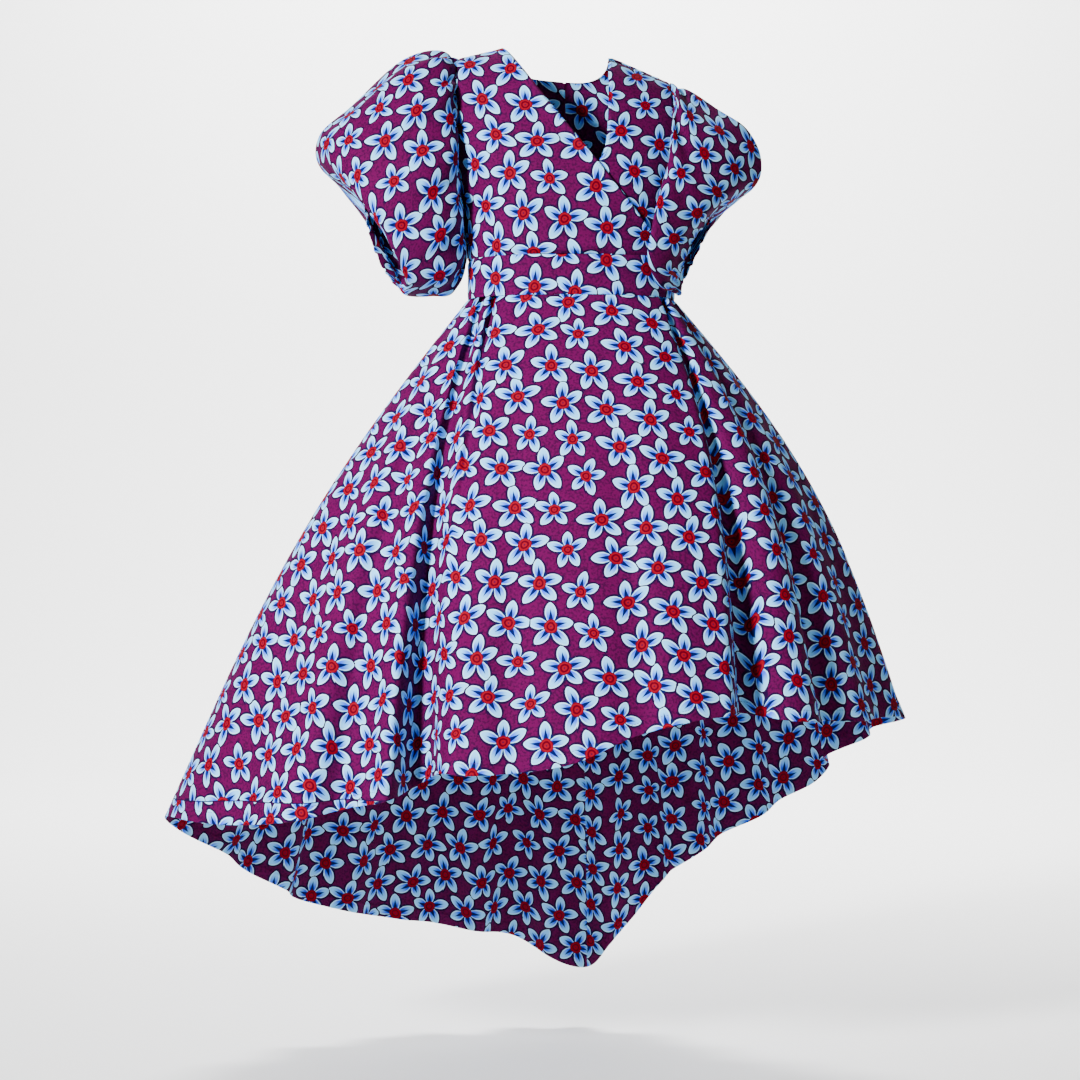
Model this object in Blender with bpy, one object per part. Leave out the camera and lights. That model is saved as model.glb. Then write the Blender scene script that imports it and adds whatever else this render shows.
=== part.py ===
"""Wax print dress with a crossover bodice, puff sleeves, a waistband and a pleated high-low skirt.

The dress keeps the hollow form that it has when it is worn. +X is the wearer's left, -Y the front,
+Z up, in metres. The origin is the middle of the shoulder line. Every piece of cloth is a closed
wall cut from one of three surfaces: the body, each sleeve and the skirt. A surface takes two
numbers, so neighbouring pieces share the same seam line.
"""

import bpy
import numpy as np

# Cloth
WALL = 0.002
SEAM_GAP = 0.0003
LAP_GAP = 0.0014

# Levels of the body of the dress, up its middle
SHOULDER_LEVEL = 0.025
ARMPIT_LEVEL = -0.225
BAND_TOP_LEVEL = -0.296
WAIST_LEVEL = -0.352

# Rounding of the body: the ring's power, how far below the seam the shoulder rolls forward, and
# its soft ridge. Shape of the skirt: how high its bulge sits, how its folds deepen downwards, and
# how far the front folds are turned towards straight back.
RING_POWER = 2.3
SHOULDER_ROLL = 0.075
RIDGE_SOFTNESS = 0.03
BULGE_SKEW = 0.25
FOLD_GROWTH = 1.3
FRONT_PUSH = 0.85
ARMHOLE_DEPTH = 0.052
BACK_NECK_LEVEL = -0.020
NECK_RIGHT_X = -0.075
NECK_LEFT_X = 0.080

# Steps along and across the pieces
ROWS_BELOW_ARM = 3
ROWS_AT_ARM = 12
BODICE_ROWS = ROWS_BELOW_ARM + ROWS_AT_ARM + 1
ROWS_AT_BACK_NECK = 6
BAND_ROWS = 3
BAND_STEP = 7.5
OVER_COLUMNS = 17
UNDER_COLUMNS = 13
BACK_COLUMNS = 8
SKIRT_STEP = 2.5
SKIRT_RINGS = (1.0, 0.9, 0.78, 0.65, 0.51, 0.37, 0.24, 0.12, 0.035, 0.0)
SLOPE_STEP = 0.5
SLEEVE_SAMPLES = 48
SLEEVE_GATHERS = 12

# The lowest and highest second number of the body, and of the skirt and sleeves
BODY_LIMITS = (-1, 2)
WHOLE_LENGTH = (0, 1)

COLLECTION_NAME = "Ankara wax print dress"


def table(names, *rows):
    """A small table of sizes, held as one column for each name."""
    return dict(zip(names.split(), np.array(rows, dtype=float).T))


# Rings of the body. level: height at the middle; middle: x of the centre; half_width, front and
# back: reach of the ring; tilt: how far the ring falls towards +X, for each metre; droop: how far
# it falls outwards, for each metre.
BODY = table(
    "level middle half_width front back tilt droop",
    (-0.400, 0.0245, 0.1530, 0.108, 0.100, 0.000, 0.00),
    (-0.352, 0.0247, 0.1503, 0.104, 0.095, 0.000, 0.00),
    (-0.296, 0.0250, 0.1505, 0.112, 0.097, 0.000, 0.00),
    (-0.260, 0.0248, 0.1530, 0.121, 0.100, 0.018, 0.00),
    (-0.225, 0.0245, 0.1565, 0.128, 0.103, 0.036, 0.01),
    (-0.175, 0.0230, 0.1680, 0.128, 0.106, 0.055, 0.04),
    (-0.110, 0.0200, 0.1760, 0.108, 0.105, 0.075, 0.12),
    (-0.050, 0.0170, 0.1790, 0.088, 0.092, 0.095, 0.24),
    (0.025, 0.0150, 0.1800, 0.070, 0.070, 0.110, 0.34),
)

# Neckline edges of the two fronts, as they are seen from the front. The over front ends in the side seam.
OVER_EDGE = table(
    "x z",
    (0.1780, -0.2780),
    (0.1600, -0.2730),
    (0.1370, -0.2600),
    (0.1050, -0.2210),
    (0.0610, -0.1670),
    (-0.0060, -0.0810),
    (-0.0490, -0.0210),
    (-0.0750, 0.0180),
)
UNDER_EDGE = table(
    "x z",
    (-0.0700, -0.2970),
    (-0.0300, -0.2550),
    (0.0150, -0.2130),
    (0.0560, -0.1730),
    (0.0700, -0.1500),
    (0.0760, -0.1200),
    (0.0790, -0.0600),
    (0.0800, -0.0030),
)

# Hem of the skirt by turn round the body. bulge: how far the cloth stands out of the straight line
# from waist to hem.
HEM = table(
    "turn x y z bulge",
    (-90, -0.563, -0.010, -1.099, 0.095),
    (-78, -0.462, -0.165, -1.097, 0.100),
    (-68, -0.352, -0.245, -1.080, 0.105),
    (-60, -0.272, -0.283, -1.060, 0.110),
    (-52, -0.212, -0.302, -1.044, 0.115),
    (-45, -0.170, -0.312, -1.018, 0.120),
    (-30, -0.118, -0.324, -1.012, 0.125),
    (-15, -0.050, -0.332, -1.008, 0.125),
    (0, 0.025, -0.335, -0.994, 0.125),
    (15, 0.095, -0.333, -0.964, 0.130),
    (30, 0.165, -0.322, -0.944, 0.135),
    (45, 0.235, -0.298, -0.934, 0.140),
    (60, 0.322, -0.255, -0.944, 0.150),
    (75, 0.420, -0.165, -0.952, 0.150),
    (90, 0.510, -0.010, -0.955, 0.148),
    (105, 0.486, 0.095, -0.985, 0.146),
    (120, 0.440, 0.165, -1.030, 0.145),
    (135, 0.372, 0.240, -1.098, 0.135),
    (150, 0.275, 0.320, -1.170, 0.125),
    (165, 0.172, 0.385, -1.250, 0.120),
    (180, 0.062, 0.425, -1.384, 0.115),
    (195, -0.070, 0.423, -1.335, 0.115),
    (210, -0.195, 0.400, -1.312, 0.110),
    (225, -0.310, 0.350, -1.290, 0.105),
    (240, -0.420, 0.270, -1.250, 0.100),
    (255, -0.510, 0.150, -1.175, 0.095),
    (270, -0.563, -0.010, -1.099, 0.095),
)

# Folds of the skirt: valleys from the waist to the hem. Turns and widths are in degrees. lean: how
# much wider a valley is on its side of the higher turns than on the other, as a share.
FOLDS = table(
    "waist_turn hem_turn waist_depth hem_depth waist_width hem_width lean",
    (-46, -41, 0.018, 0.000, 2.4, 3.8, 0.35),
    (-58, -50, 0.014, 0.096, 3.0, 5.2, 0.50),
    (-70, -63, 0.006, 0.050, 4.0, 4.4, 0.40),
    (-80, -78, 0.002, 0.030, 4.6, 5.0, 0.30),
    (-24, -17, 0.000, 0.012, 5.0, 7.0, 0.20),
    (14, 20, 0.000, 0.016, 5.0, 7.0, -0.20),
    (57, 50, 0.018, 0.080, 2.8, 5.0, 0.45),
    (73, 70, 0.006, 0.044, 4.2, 4.8, 0.40),
    (84, 83, 0.001, 0.020, 4.0, 4.4, 0.20),
    (103, 101, 0.003, 0.030, 4.0, 4.6, 0.10),
    (116, 118, 0.004, 0.050, 4.2, 5.2, -0.25),
    (131, 135, 0.003, 0.036, 3.6, 4.4, 0.20),
    (145, 147, 0.005, 0.054, 4.0, 5.0, 0.20),
    (159, 160, 0.002, 0.028, 3.4, 4.0, -0.15),
    (172, 175, 0.004, 0.050, 4.0, 4.8, 0.25),
    (191, 188, 0.003, 0.034, 3.8, 4.2, -0.25),
    (205, 202, 0.005, 0.052, 4.2, 5.0, 0.15),
    (219, 216, 0.001, 0.024, 3.4, 4.2, 0.00),
    (232, 229, 0.003, 0.040, 4.0, 5.0, -0.20),
    (246, 243, 0.003, 0.038, 4.0, 4.6, 0.25),
    (258, 256, 0.002, 0.026, 4.0, 4.8, -0.10),
)

# Rings of the sleeves from armhole to cuff. The top and low points of each ring are seen from the
# front; low_y sets the low point forward. front and back: how far the ring bulges; front_lean and
# back_lean: how far each of these sides stands off the line from top to low point, in x;
# front_sink: how far the front side drops; gather: how deep the gathers are.
SLEEVE_RIGHT = table(
    "along top_x top_z low_x low_y low_z front back front_lean back_lean front_sink gather",
    (0.00, -0.1410, 0.0000, -0.1320, 0.000, -0.2190, 0.052, 0.052, 0.000, 0.000, 0.000, 0.000),
    (0.10, -0.1640, 0.0060, -0.1290, 0.000, -0.2860, 0.088, 0.086, 0.008, 0.008, 0.000, 0.030),
    (0.25, -0.2160, -0.0060, -0.1460, 0.000, -0.3330, 0.115, 0.110, 0.014, 0.012, 0.000, 0.024),
    (0.45, -0.2930, -0.0720, -0.1800, 0.000, -0.3430, 0.122, 0.118, 0.016, 0.018, 0.000, 0.010),
    (0.62, -0.3400, -0.1150, -0.2030, 0.000, -0.3440, 0.112, 0.110, 0.020, 0.022, 0.000, 0.010),
    (0.80, -0.3320, -0.1670, -0.2190, 0.000, -0.3400, 0.092, 0.092, 0.028, 0.016, 0.000, 0.022),
    (0.92, -0.2880, -0.1950, -0.2230, 0.000, -0.3340, 0.074, 0.070, 0.034, 0.000, -0.010, 0.030),
    (1.00, -0.2680, -0.2030, -0.2240, 0.000, -0.3270, 0.060, 0.060, 0.038, -0.020, -0.014, 0.018),
)
SLEEVE_LEFT = table(
    "along top_x top_z low_x low_y low_z front back front_lean back_lean front_sink gather",
    (0.00, 0.1710, -0.0400, 0.1810, 0.000, -0.2310, 0.052, 0.052, 0.000, 0.000, 0.000, 0.000),
    (0.10, 0.1960, -0.0520, 0.1880, -0.010, -0.2850, 0.088, 0.086, -0.030, 0.000, 0.010, 0.030),
    (0.25, 0.2370, -0.0780, 0.1860, -0.025, -0.3220, 0.115, 0.108, -0.064, -0.004, 0.018, 0.024),
    (0.45, 0.2800, -0.1060, 0.1840, -0.040, -0.3360, 0.122, 0.112, -0.088, -0.016, 0.024, 0.010),
    (0.62, 0.2990, -0.1460, 0.1830, -0.045, -0.3430, 0.112, 0.100, -0.082, -0.028, 0.020, 0.010),
    (0.80, 0.2890, -0.1880, 0.1820, -0.045, -0.3460, 0.092, 0.086, -0.056, -0.030, 0.010, 0.022),
    (0.92, 0.2560, -0.2140, 0.1790, -0.040, -0.3450, 0.074, 0.074, -0.030, -0.014, 0.000, 0.030),
    (1.00, 0.2280, -0.2310, 0.1760, -0.035, -0.3420, 0.062, 0.062, -0.010, 0.004, 0.000, 0.018),
)
SLEEVE_RINGS = (0.0, 0.035, 0.08, 0.15, 0.24, 0.35, 0.47, 0.59, 0.71, 0.82, 0.91, 0.96, 1.0)
HEAD_BLEND = 0.25
SLEEVE_CLEARANCE = 0.003
HEAD_GAP = 0.00075
UNDERARM_GAP = 0.0012
BUTT_ENDS = (60, 115)
CLEARANCE_RUN = 0.1
CLEARANCE_START = 0.03
CLEARED_PHASES = (20, 60)


def smooth(at, places, values, period=None):
    """Reads a column along a curve with a continuous slope. A column with a period repeats."""
    if period is not None:
        at = places[0] + np.mod(at - places[0], period)
        before, after = places[-3:-1] - period, places[1:3] + period
        places = np.concatenate([before, places, after])
        values = np.concatenate([values[-3:-1], values, values[1:3]])
    steps = np.diff(places)
    slopes = np.gradient(values, places)
    index = np.clip(np.searchsorted(places, at, side="right") - 1, 0, len(steps) - 1)
    step = steps[index]
    part = np.clip((at - places[index]) / step, 0.0, 1.0)
    rise = values[index + 1] - values[index]
    bend_in = slopes[index] * step - rise
    bend_out = rise - slopes[index + 1] * step
    return values[index] + rise * part + part * (1 - part) * ((1 - part) * bend_in + part * bend_out)


def surface_normals(surface, first, second, limits, nudge=1e-3):
    """Unit normals of a surface of two numbers, from its slopes. They follow first crossed with second."""
    along_first = surface(first + nudge, second) - surface(first - nudge, second)
    low, high = np.clip(second - nudge, *limits), np.clip(second + nudge, *limits)
    normals = np.cross(along_first, surface(first, high) - surface(first, low))
    return normals / np.linalg.norm(normals, axis=-1, keepdims=True)


def body_level(rise):
    """Height of a row: -1 the waist, 0 the top of the waistband, 1 the armpit, 2 the shoulder seam."""
    straight = np.interp(rise, (-1, 0, 1), (WAIST_LEVEL, BAND_TOP_LEVEL, ARMPIT_LEVEL))
    middle, half = (SHOULDER_LEVEL + ARMPIT_LEVEL) / 2, (SHOULDER_LEVEL - ARMPIT_LEVEL) / 2
    return np.where(rise > 1, middle - half * np.cos(np.pi * (rise - 1)), straight)


def body_rise(level):
    """The row that has this height."""
    middle, half = (SHOULDER_LEVEL + ARMPIT_LEVEL) / 2, (SHOULDER_LEVEL - ARMPIT_LEVEL) / 2
    straight = np.interp(level, (WAIST_LEVEL, BAND_TOP_LEVEL, ARMPIT_LEVEL), (-1, 0, 1))
    arched = 1 + np.arccos(np.clip((middle - level) / half, -1, 1)) / np.pi
    return np.where(level > ARMPIT_LEVEL, arched, straight)


def shoulder_roll(level):
    """Share of the full depth that the body has at this height: none at the shoulder seam."""
    below = np.clip((SHOULDER_LEVEL - level) / SHOULDER_ROLL, 0, 1)
    return np.sqrt(1 - (1 - below) ** 2)


def body_column(name, level):
    return smooth(level, BODY["level"], BODY[name])


def droop_at(out, level):
    """How far a ring has fallen at this distance from its middle, by its tilt and its droop."""
    ridge = np.sqrt(out**2 + RIDGE_SOFTNESS**2) - RIDGE_SOFTNESS
    return body_column("tilt", level) * out + body_column("droop", level) * ridge


def body(turn, rise):
    """The body of the dress: rounded rings, 0 degrees at the centre front and 90 at the left."""
    level = body_level(rise)
    angle = np.radians(turn)
    across = np.sign(np.sin(angle)) * np.abs(np.sin(angle)) ** (2 / RING_POWER)
    forward = np.sign(np.cos(angle)) * np.abs(np.cos(angle)) ** (2 / RING_POWER)
    depth = np.where(forward > 0, body_column("front", level), body_column("back", level))
    out = body_column("half_width", level) * across
    x = body_column("middle", level) + out
    y = -depth * shoulder_roll(level) * forward
    z = level - droop_at(out, level)
    return np.stack(np.broadcast_arrays(x, y, z), axis=-1)


def turn_at(x, level, behind=False):
    """The turn at which a ring has this x, on its front half or its back half."""
    across = (x - body_column("middle", level)) / body_column("half_width", level)
    angle = np.degrees(np.arcsin(np.clip(np.sign(across) * np.abs(across) ** (RING_POWER / 2), -1, 1)))
    return 180 - angle if behind else angle


def armhole_turn(rise, side, behind):
    """Turn of the armhole or, below it, of the side seam. side is 1 for left and -1 for right."""
    high = np.clip(rise, 1, 2 - 1e-4)
    level = body_level(high)
    reach = body_column("back" if behind else "front", level) * shoulder_roll(level)
    forward = np.clip(ARMHOLE_DEPTH * np.sin(np.pi * (high - 1)) / reach, 0, 1)
    angle = np.degrees(np.arccos(forward ** (RING_POWER / 2)))
    if not behind:
        return side * angle
    return 180 - angle if side > 0 else 180 + angle


def side_line(side, behind):
    """Side seam and armhole of a bodice piece, up to the shoulder tip, as turns and rises."""
    below = np.linspace(0, 1, ROWS_BELOW_ARM + 1)[:-1]
    rise = np.concatenate([below, np.linspace(1, 2, ROWS_AT_ARM + 1)])
    return armhole_turn(rise, side, behind), rise


def edge_line(edge, rows):
    """A neckline edge, drawn as seen from the front, as evenly spaced turns and rises on the body."""
    fine = np.linspace(0, len(edge["x"]) - 1, 400)
    places = np.arange(len(edge["x"]), dtype=float)
    x, z = smooth(fine, places, edge["x"]), smooth(fine, places, edge["z"])
    level = z
    for _ in range(8):
        level = z + droop_at(x - body_column("middle", level), level)
    turn, rise = turn_at(x, level), body_rise(np.clip(level, BAND_TOP_LEVEL, SHOULDER_LEVEL))
    steps = np.linalg.norm(np.diff(body(turn, rise), axis=0), axis=-1)
    length = np.concatenate([[0], np.cumsum(steps)])
    even = np.linspace(0, length[-1], rows)
    return np.interp(even, length, turn), np.interp(even, length, rise)


def back_centre_line(side):
    """Centre back seam and back neckline, up to the neck point, as turns and rises."""
    below = np.linspace(0, body_rise(np.array(BACK_NECK_LEVEL)), BODICE_ROWS - ROWS_AT_BACK_NECK)
    bend = np.linspace(0, np.pi / 2, ROWS_AT_BACK_NECK + 1)[1:]
    level = SHOULDER_LEVEL + (BACK_NECK_LEVEL - SHOULDER_LEVEL) * np.cos(bend)
    middle = body_column("middle", level)
    neck_x = NECK_LEFT_X if side > 0 else NECK_RIGHT_X
    turn = turn_at(middle + (neck_x - middle) * np.sin(bend), level, behind=True)
    return np.concatenate([np.full(len(below), 180.0), turn]), np.concatenate([below, body_rise(level)])


def ruled(first_line, last_line, columns):
    """Grid of turns and rises, with each row running straight from one line to the other."""
    part = np.linspace(0, 1, columns)
    turn = first_line[0][:, None] * (1 - part) + last_line[0][:, None] * part
    rise = first_line[1][:, None] * (1 - part) + last_line[1][:, None] * part
    return turn, rise


def waist_ring(turn):
    return body(turn, np.full(np.shape(turn), -1.0))


def skirt_cone(turn, drop):
    """The skirt without folds: from the waist (drop 0) to the hem (drop 1), standing out by its bulge."""
    top = waist_ring(turn)
    columns = (smooth(turn, HEM["turn"], HEM[name], 360) for name in ("x", "y", "z", "bulge"))
    hem_x, hem_y, hem_z, bulge = columns
    out = drop + bulge * np.sin(np.pi * drop) * (1 + BULGE_SKEW * (1 - 2 * drop))
    x = top[..., 0] + (hem_x - top[..., 0]) * out
    y = top[..., 1] + (hem_y - top[..., 1]) * out
    z = top[..., 2] + (hem_z - top[..., 2]) * drop
    return np.stack([x, y, z], axis=-1)


def fold_depth(turn, drop):
    """How far the folds push the cloth in, as a sum of bell shapes across their lines."""
    depth = np.zeros(np.broadcast(turn, drop).shape)
    for row in zip(*FOLDS.values()):
        waist_turn, hem_turn, waist_depth, hem_depth, waist_width, hem_width, lean = row
        centre = waist_turn + (hem_turn - waist_turn) * drop
        away = np.mod(turn - centre + 180, 360) - 180
        width = (waist_width + (hem_width - waist_width) * drop) * (1 + lean * np.sign(away))
        depth += (waist_depth * (1 - drop) + hem_depth * drop**FOLD_GROWTH) * np.exp(-((away / width) ** 2))
    return depth


def skirt(turn, drop):
    """The skirt: the cone, with its folds pushed in level with the ground.

    At the sides and the back a fold is pushed in square to the cloth. In front it is turned towards
    straight back, so that the pleats lie over to the sides.
    """
    turn, drop = np.broadcast_arrays(np.asarray(turn, dtype=float), np.asarray(drop, dtype=float))
    along = skirt_cone(turn + SLOPE_STEP, drop) - skirt_cone(turn - SLOPE_STEP, drop)
    along /= np.linalg.norm(along[..., :2], axis=-1, keepdims=True)
    out = np.stack([along[..., 1], -along[..., 0], np.zeros(turn.shape)], axis=-1)
    ahead = FRONT_PUSH * (1 - np.clip(np.abs(turn) / 90, 0, 1) ** 4)[..., None]
    out = out * (1 - ahead) + np.array([0.0, -1.0, 0.0]) * ahead
    out /= np.linalg.norm(out, axis=-1, keepdims=True)
    return skirt_cone(turn, drop) - out * fold_depth(turn, drop)[..., None]


def armhole_ring(side, phase):
    """Points round the armhole, 0 at the shoulder tip and 90 degrees at the front, set off a little.

    From the shoulder to the front and back of the arm the sleeve butts against the middle of the
    bodice's wall. Under the arm, where the bodice's wall stands upright, it starts outside it.
    """
    steps = np.linspace(0, 2, 2 * ROWS_AT_ARM + 1)
    rise = 2 - np.minimum(steps, 2 - steps)
    behind = steps > 1
    turn = np.where(behind, armhole_turn(rise, side, True), armhole_turn(rise, side, False))
    points = body(turn, rise)
    normals = surface_normals(body, turn, rise, BODY_LIMITS)
    round_angle = steps * 180
    from_tip = np.minimum(round_angle, 360 - round_angle)
    butted = np.clip((BUTT_ENDS[1] - from_tip) / (BUTT_ENDS[1] - BUTT_ENDS[0]), 0, 1)
    points = points - normals * (butted * WALL / 2)[:, None]
    points[:, 0] += side * (HEAD_GAP * butted + UNDERARM_GAP * (1 - butted))
    phase = np.mod(phase, 360)
    return np.stack([np.interp(phase, round_angle, points[:, axis]) for axis in range(3)], axis=-1)


def sleeve_rings(rings, phase, along):
    """The sleeve's own rings: an oval between a top and a low point, bulging front and back."""
    column = {name: smooth(along, rings["along"], rings[name]) for name in rings}
    angle = np.radians(phase)
    up, forward = np.cos(angle), np.sin(angle)
    bulge = np.where(forward > 0, column["front"], column["back"])
    ahead, behind = np.clip(forward, 0, None), np.clip(-forward, 0, None)
    lean = column["front_lean"] * ahead + column["back_lean"] * behind
    gather = 1 + column["gather"] * np.cos(SLEEVE_GATHERS * angle)
    x_middle, x_half = (column["top_x"] + column["low_x"]) / 2, (column["top_x"] - column["low_x"]) / 2
    z_middle, z_half = (column["top_z"] + column["low_z"]) / 2, (column["top_z"] - column["low_z"]) / 2
    x = x_middle + gather * (x_half * up + lean)
    y = column["low_y"] * (1 - up) / 2 - gather * bulge * forward
    z = z_middle + gather * (z_half * up - column["front_sink"] * ahead)
    return np.stack(np.broadcast_arrays(x, y, z), axis=-1)


def clear_of_body(points, clearance):
    """Moves points that come closer to the body than the clearance straight out from its middle."""
    level = np.clip(points[..., 2], WAIST_LEVEL, SHOULDER_LEVEL)
    for _ in range(4):
        level = points[..., 2] + droop_at(points[..., 0] - body_column("middle", level), level)
    out = points[..., 0] - body_column("middle", level)
    depth = np.where(points[..., 1] < 0, body_column("front", level), body_column("back", level))
    depth = depth * shoulder_roll(level)
    across = np.abs(out) / (body_column("half_width", level) + clearance)
    forward = np.abs(points[..., 1]) / (depth + clearance)
    inside = (across**RING_POWER + forward**RING_POWER) ** (1 / RING_POWER)
    push = np.where(level < SHOULDER_LEVEL, 1 / np.clip(inside, 0.3, 1), 1)
    moved = points.copy()
    moved[..., 0] += out * (push - 1)
    moved[..., 1] *= push
    return moved


def sleeve(rings, side, phase, along):
    """A puff sleeve from the armhole (along 0) to the cuff (along 1), lying clear of the body."""
    phase, along = np.broadcast_arrays(np.asarray(phase, dtype=float), np.asarray(along, dtype=float))
    points = sleeve_rings(rings, phase, along)
    blend = np.clip(1 - along / HEAD_BLEND, 0, 1)[..., None] ** 3
    seam = armhole_ring(side, phase)
    points = points + blend * (seam - sleeve_rings(rings, phase, np.zeros(along.shape)))
    clearance = np.clip(along / CLEARANCE_RUN, 0, 1) * SLEEVE_CLEARANCE
    cleared = clear_of_body(points, clearance)
    from_tip = np.abs(np.mod(phase + 180, 360) - 180)
    low = np.clip((from_tip - CLEARED_PHASES[0]) / (CLEARED_PHASES[1] - CLEARED_PHASES[0]), 0, 1)
    part = (np.clip(along / CLEARANCE_START, 0, 1) * low)[..., None]
    return points * (1 - part) + cleared * part


def trimmed(grid, closed=False):
    """Draws a piece's edges in by half the seam gap, so that it stays clear of its neighbours."""
    grid = grid.copy()
    for lines in (grid,) if closed else (grid, grid.transpose(1, 0, 2)):
        for edge, inner in ((0, 1), (-1, -2)):
            inward = lines[inner] - lines[edge]
            lines[edge] += inward / np.linalg.norm(inward, axis=-1, keepdims=True) * (SEAM_GAP / 2)
    return grid


def wall_faces(rows, columns, closed):
    """Triangles of a closed wall: its outer grid, its inner grid and the strips that join their edges."""
    index = np.arange(rows * columns).reshape(rows, columns)
    around = np.concatenate([index, index[:, :1]], axis=1) if closed else index
    low_left, low_right = around[:-1, :-1].ravel(), around[:-1, 1:].ravel()
    top_left, top_right = around[1:, :-1].ravel(), around[1:, 1:].ravel()
    outer = np.concatenate([
        np.stack([low_left, low_right, top_right], axis=1),
        np.stack([low_left, top_right, top_left], axis=1),
    ])
    inner = outer[:, ::-1] + rows * columns
    borders = [around[0], around[-1][::-1]]
    if not closed:
        borders += [index[:, -1], index[::-1, 0]]
    strips = []
    for border in borders:
        start, end = border[:-1], border[1:]
        shift = rows * columns
        strips.append(np.stack([start, start + shift, end + shift], axis=1))
        strips.append(np.stack([start, end + shift, end], axis=1))
    return np.concatenate([outer, inner, *strips])


def cloth_piece(name, outer, inner, material, collection, closed=False):
    """Makes one piece of cloth as a closed wall between two grids of points."""
    rows, columns = outer.shape[:2]
    points = np.concatenate([outer.reshape(-1, 3), inner.reshape(-1, 3)])
    faces = wall_faces(rows, columns, closed)
    corners = points[faces]
    volume = np.einsum("ij,ij->i", corners[:, 0], np.cross(corners[:, 1], corners[:, 2])).sum()
    if volume < 0:
        faces = faces[:, ::-1]
    mesh = bpy.data.meshes.new(name)
    mesh.from_pydata(points.tolist(), [], faces.tolist())
    mesh.materials.append(material)
    mesh.shade_smooth()
    piece = bpy.data.objects.new(name, mesh)
    collection.objects.link(piece)
    return piece


def body_piece(name, grid, material, collection, under=0.0):
    """A piece of the bodice or waistband, cut from the body; under sets it below another layer."""
    turn, rise = grid
    points = trimmed(body(turn, rise))
    normals = surface_normals(body, turn, rise, BODY_LIMITS)
    outer, inner = points - normals * under, points - normals * (under + WALL)
    return cloth_piece(name, outer, inner, material, collection)


def make_bodice(material, collection):
    """Two crossing fronts, the wearer's right one on top, and two backs that meet in a centre seam."""
    over_turn, over_rise = edge_line(OVER_EDGE, BODICE_ROWS - 1)
    over_turn[0] = 90
    over_edge = np.concatenate([[90.0], over_turn]), np.concatenate([[0.0], over_rise])
    over = ruled(side_line(-1, False), over_edge, OVER_COLUMNS)
    body_piece("bodice_front_over", over, material, collection)
    under = ruled(edge_line(UNDER_EDGE, BODICE_ROWS), side_line(1, False), UNDER_COLUMNS)
    body_piece("bodice_front_under", under, material, collection, under=WALL + LAP_GAP)
    for name, side in (("bodice_back_left", 1), ("bodice_back_right", -1)):
        lines = [side_line(side, True), back_centre_line(side)]
        if side < 0:
            lines.reverse()
        body_piece(name, ruled(*lines, BACK_COLUMNS), material, collection)


def make_waistband(material, collection):
    """A straight band in three pieces, joined at the sides and at the centre back."""
    for name, start, end in (
        ("waistband_front", -90, 90),
        ("waistband_back_left", 90, 180),
        ("waistband_back_right", 180, 270),
    ):
        turns = np.arange(start, end + 1, BAND_STEP)
        body_piece(name, np.meshgrid(turns, np.linspace(-1, 0, BAND_ROWS)), material, collection)


def make_skirt(material, collection):
    """A front and two backs, cut from the pleated cone and joined at the sides and the centre back."""
    for name, start, end in (
        ("skirt_front", -90, 90),
        ("skirt_back_left", 90, 180),
        ("skirt_back_right", 180, 270),
    ):
        turn, drop = np.meshgrid(np.arange(start, end + 1, SKIRT_STEP), SKIRT_RINGS)
        points = trimmed(skirt(turn, drop))
        normals = skirt_normals(turn, drop)
        cloth_piece(name, points, points - normals * WALL, material, collection)


def skirt_normals(turn, drop):
    """Unit normals of the skirt, pointing out."""
    return -surface_normals(skirt, turn, drop, WHOLE_LENGTH)


def make_sleeves(material, collection):
    """Two puff sleeves, each one tube, gathered into the armhole and into the cuff."""
    phase = np.arange(SLEEVE_SAMPLES) * (360 / SLEEVE_SAMPLES)
    for name, rings, side in (("sleeve_right", SLEEVE_RIGHT, -1), ("sleeve_left", SLEEVE_LEFT, 1)):
        phases, alongs = np.meshgrid(phase, SLEEVE_RINGS)

        def surface(at_phase, at_along):
            return sleeve(rings, side, at_phase, at_along)

        points = surface(phases, alongs)
        normals = surface_normals(surface, phases, alongs, WHOLE_LENGTH, nudge=2e-3) * side
        normals[0, :, 0] = 0
        normals[0] /= np.linalg.norm(normals[0], axis=-1, keepdims=True)
        half_wall = normals * WALL / 2
        outer, inner = points + half_wall, points - half_wall
        cloth_piece(name, outer, inner, material, collection, closed=True)


def print_cloth():
    """Plum cotton with pale blue flowers, as the one colour that it has from a distance."""
    material = bpy.data.materials.new("wax_print_cotton")
    material.use_nodes = True
    shader = material.node_tree.nodes["Principled BSDF"]
    shader.inputs["Base Color"].default_value = (0.25, 0.09, 0.24, 1)
    shader.inputs["Roughness"].default_value = 0.72
    shader.inputs["Metallic"].default_value = 0.0
    return material


def main():
    for old in list(bpy.data.objects):
        bpy.data.objects.remove(old, do_unlink=True)
    collection = bpy.data.collections.new(COLLECTION_NAME)
    bpy.context.scene.collection.children.link(collection)
    material = print_cloth()
    make_bodice(material, collection)
    make_waistband(material, collection)
    make_skirt(material, collection)
    make_sleeves(material, collection)


main()
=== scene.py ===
"""Looks of the wax print dress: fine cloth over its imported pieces, its print, its stitching and the studio.

Each piece of cloth is a thin shell on the same surface as its solid, with finer folds and the print laid
along the cloth. +X is the wearer's left, -Y the front, +Z up, in metres, and the origin is the middle of
the shoulder line.
"""

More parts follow.
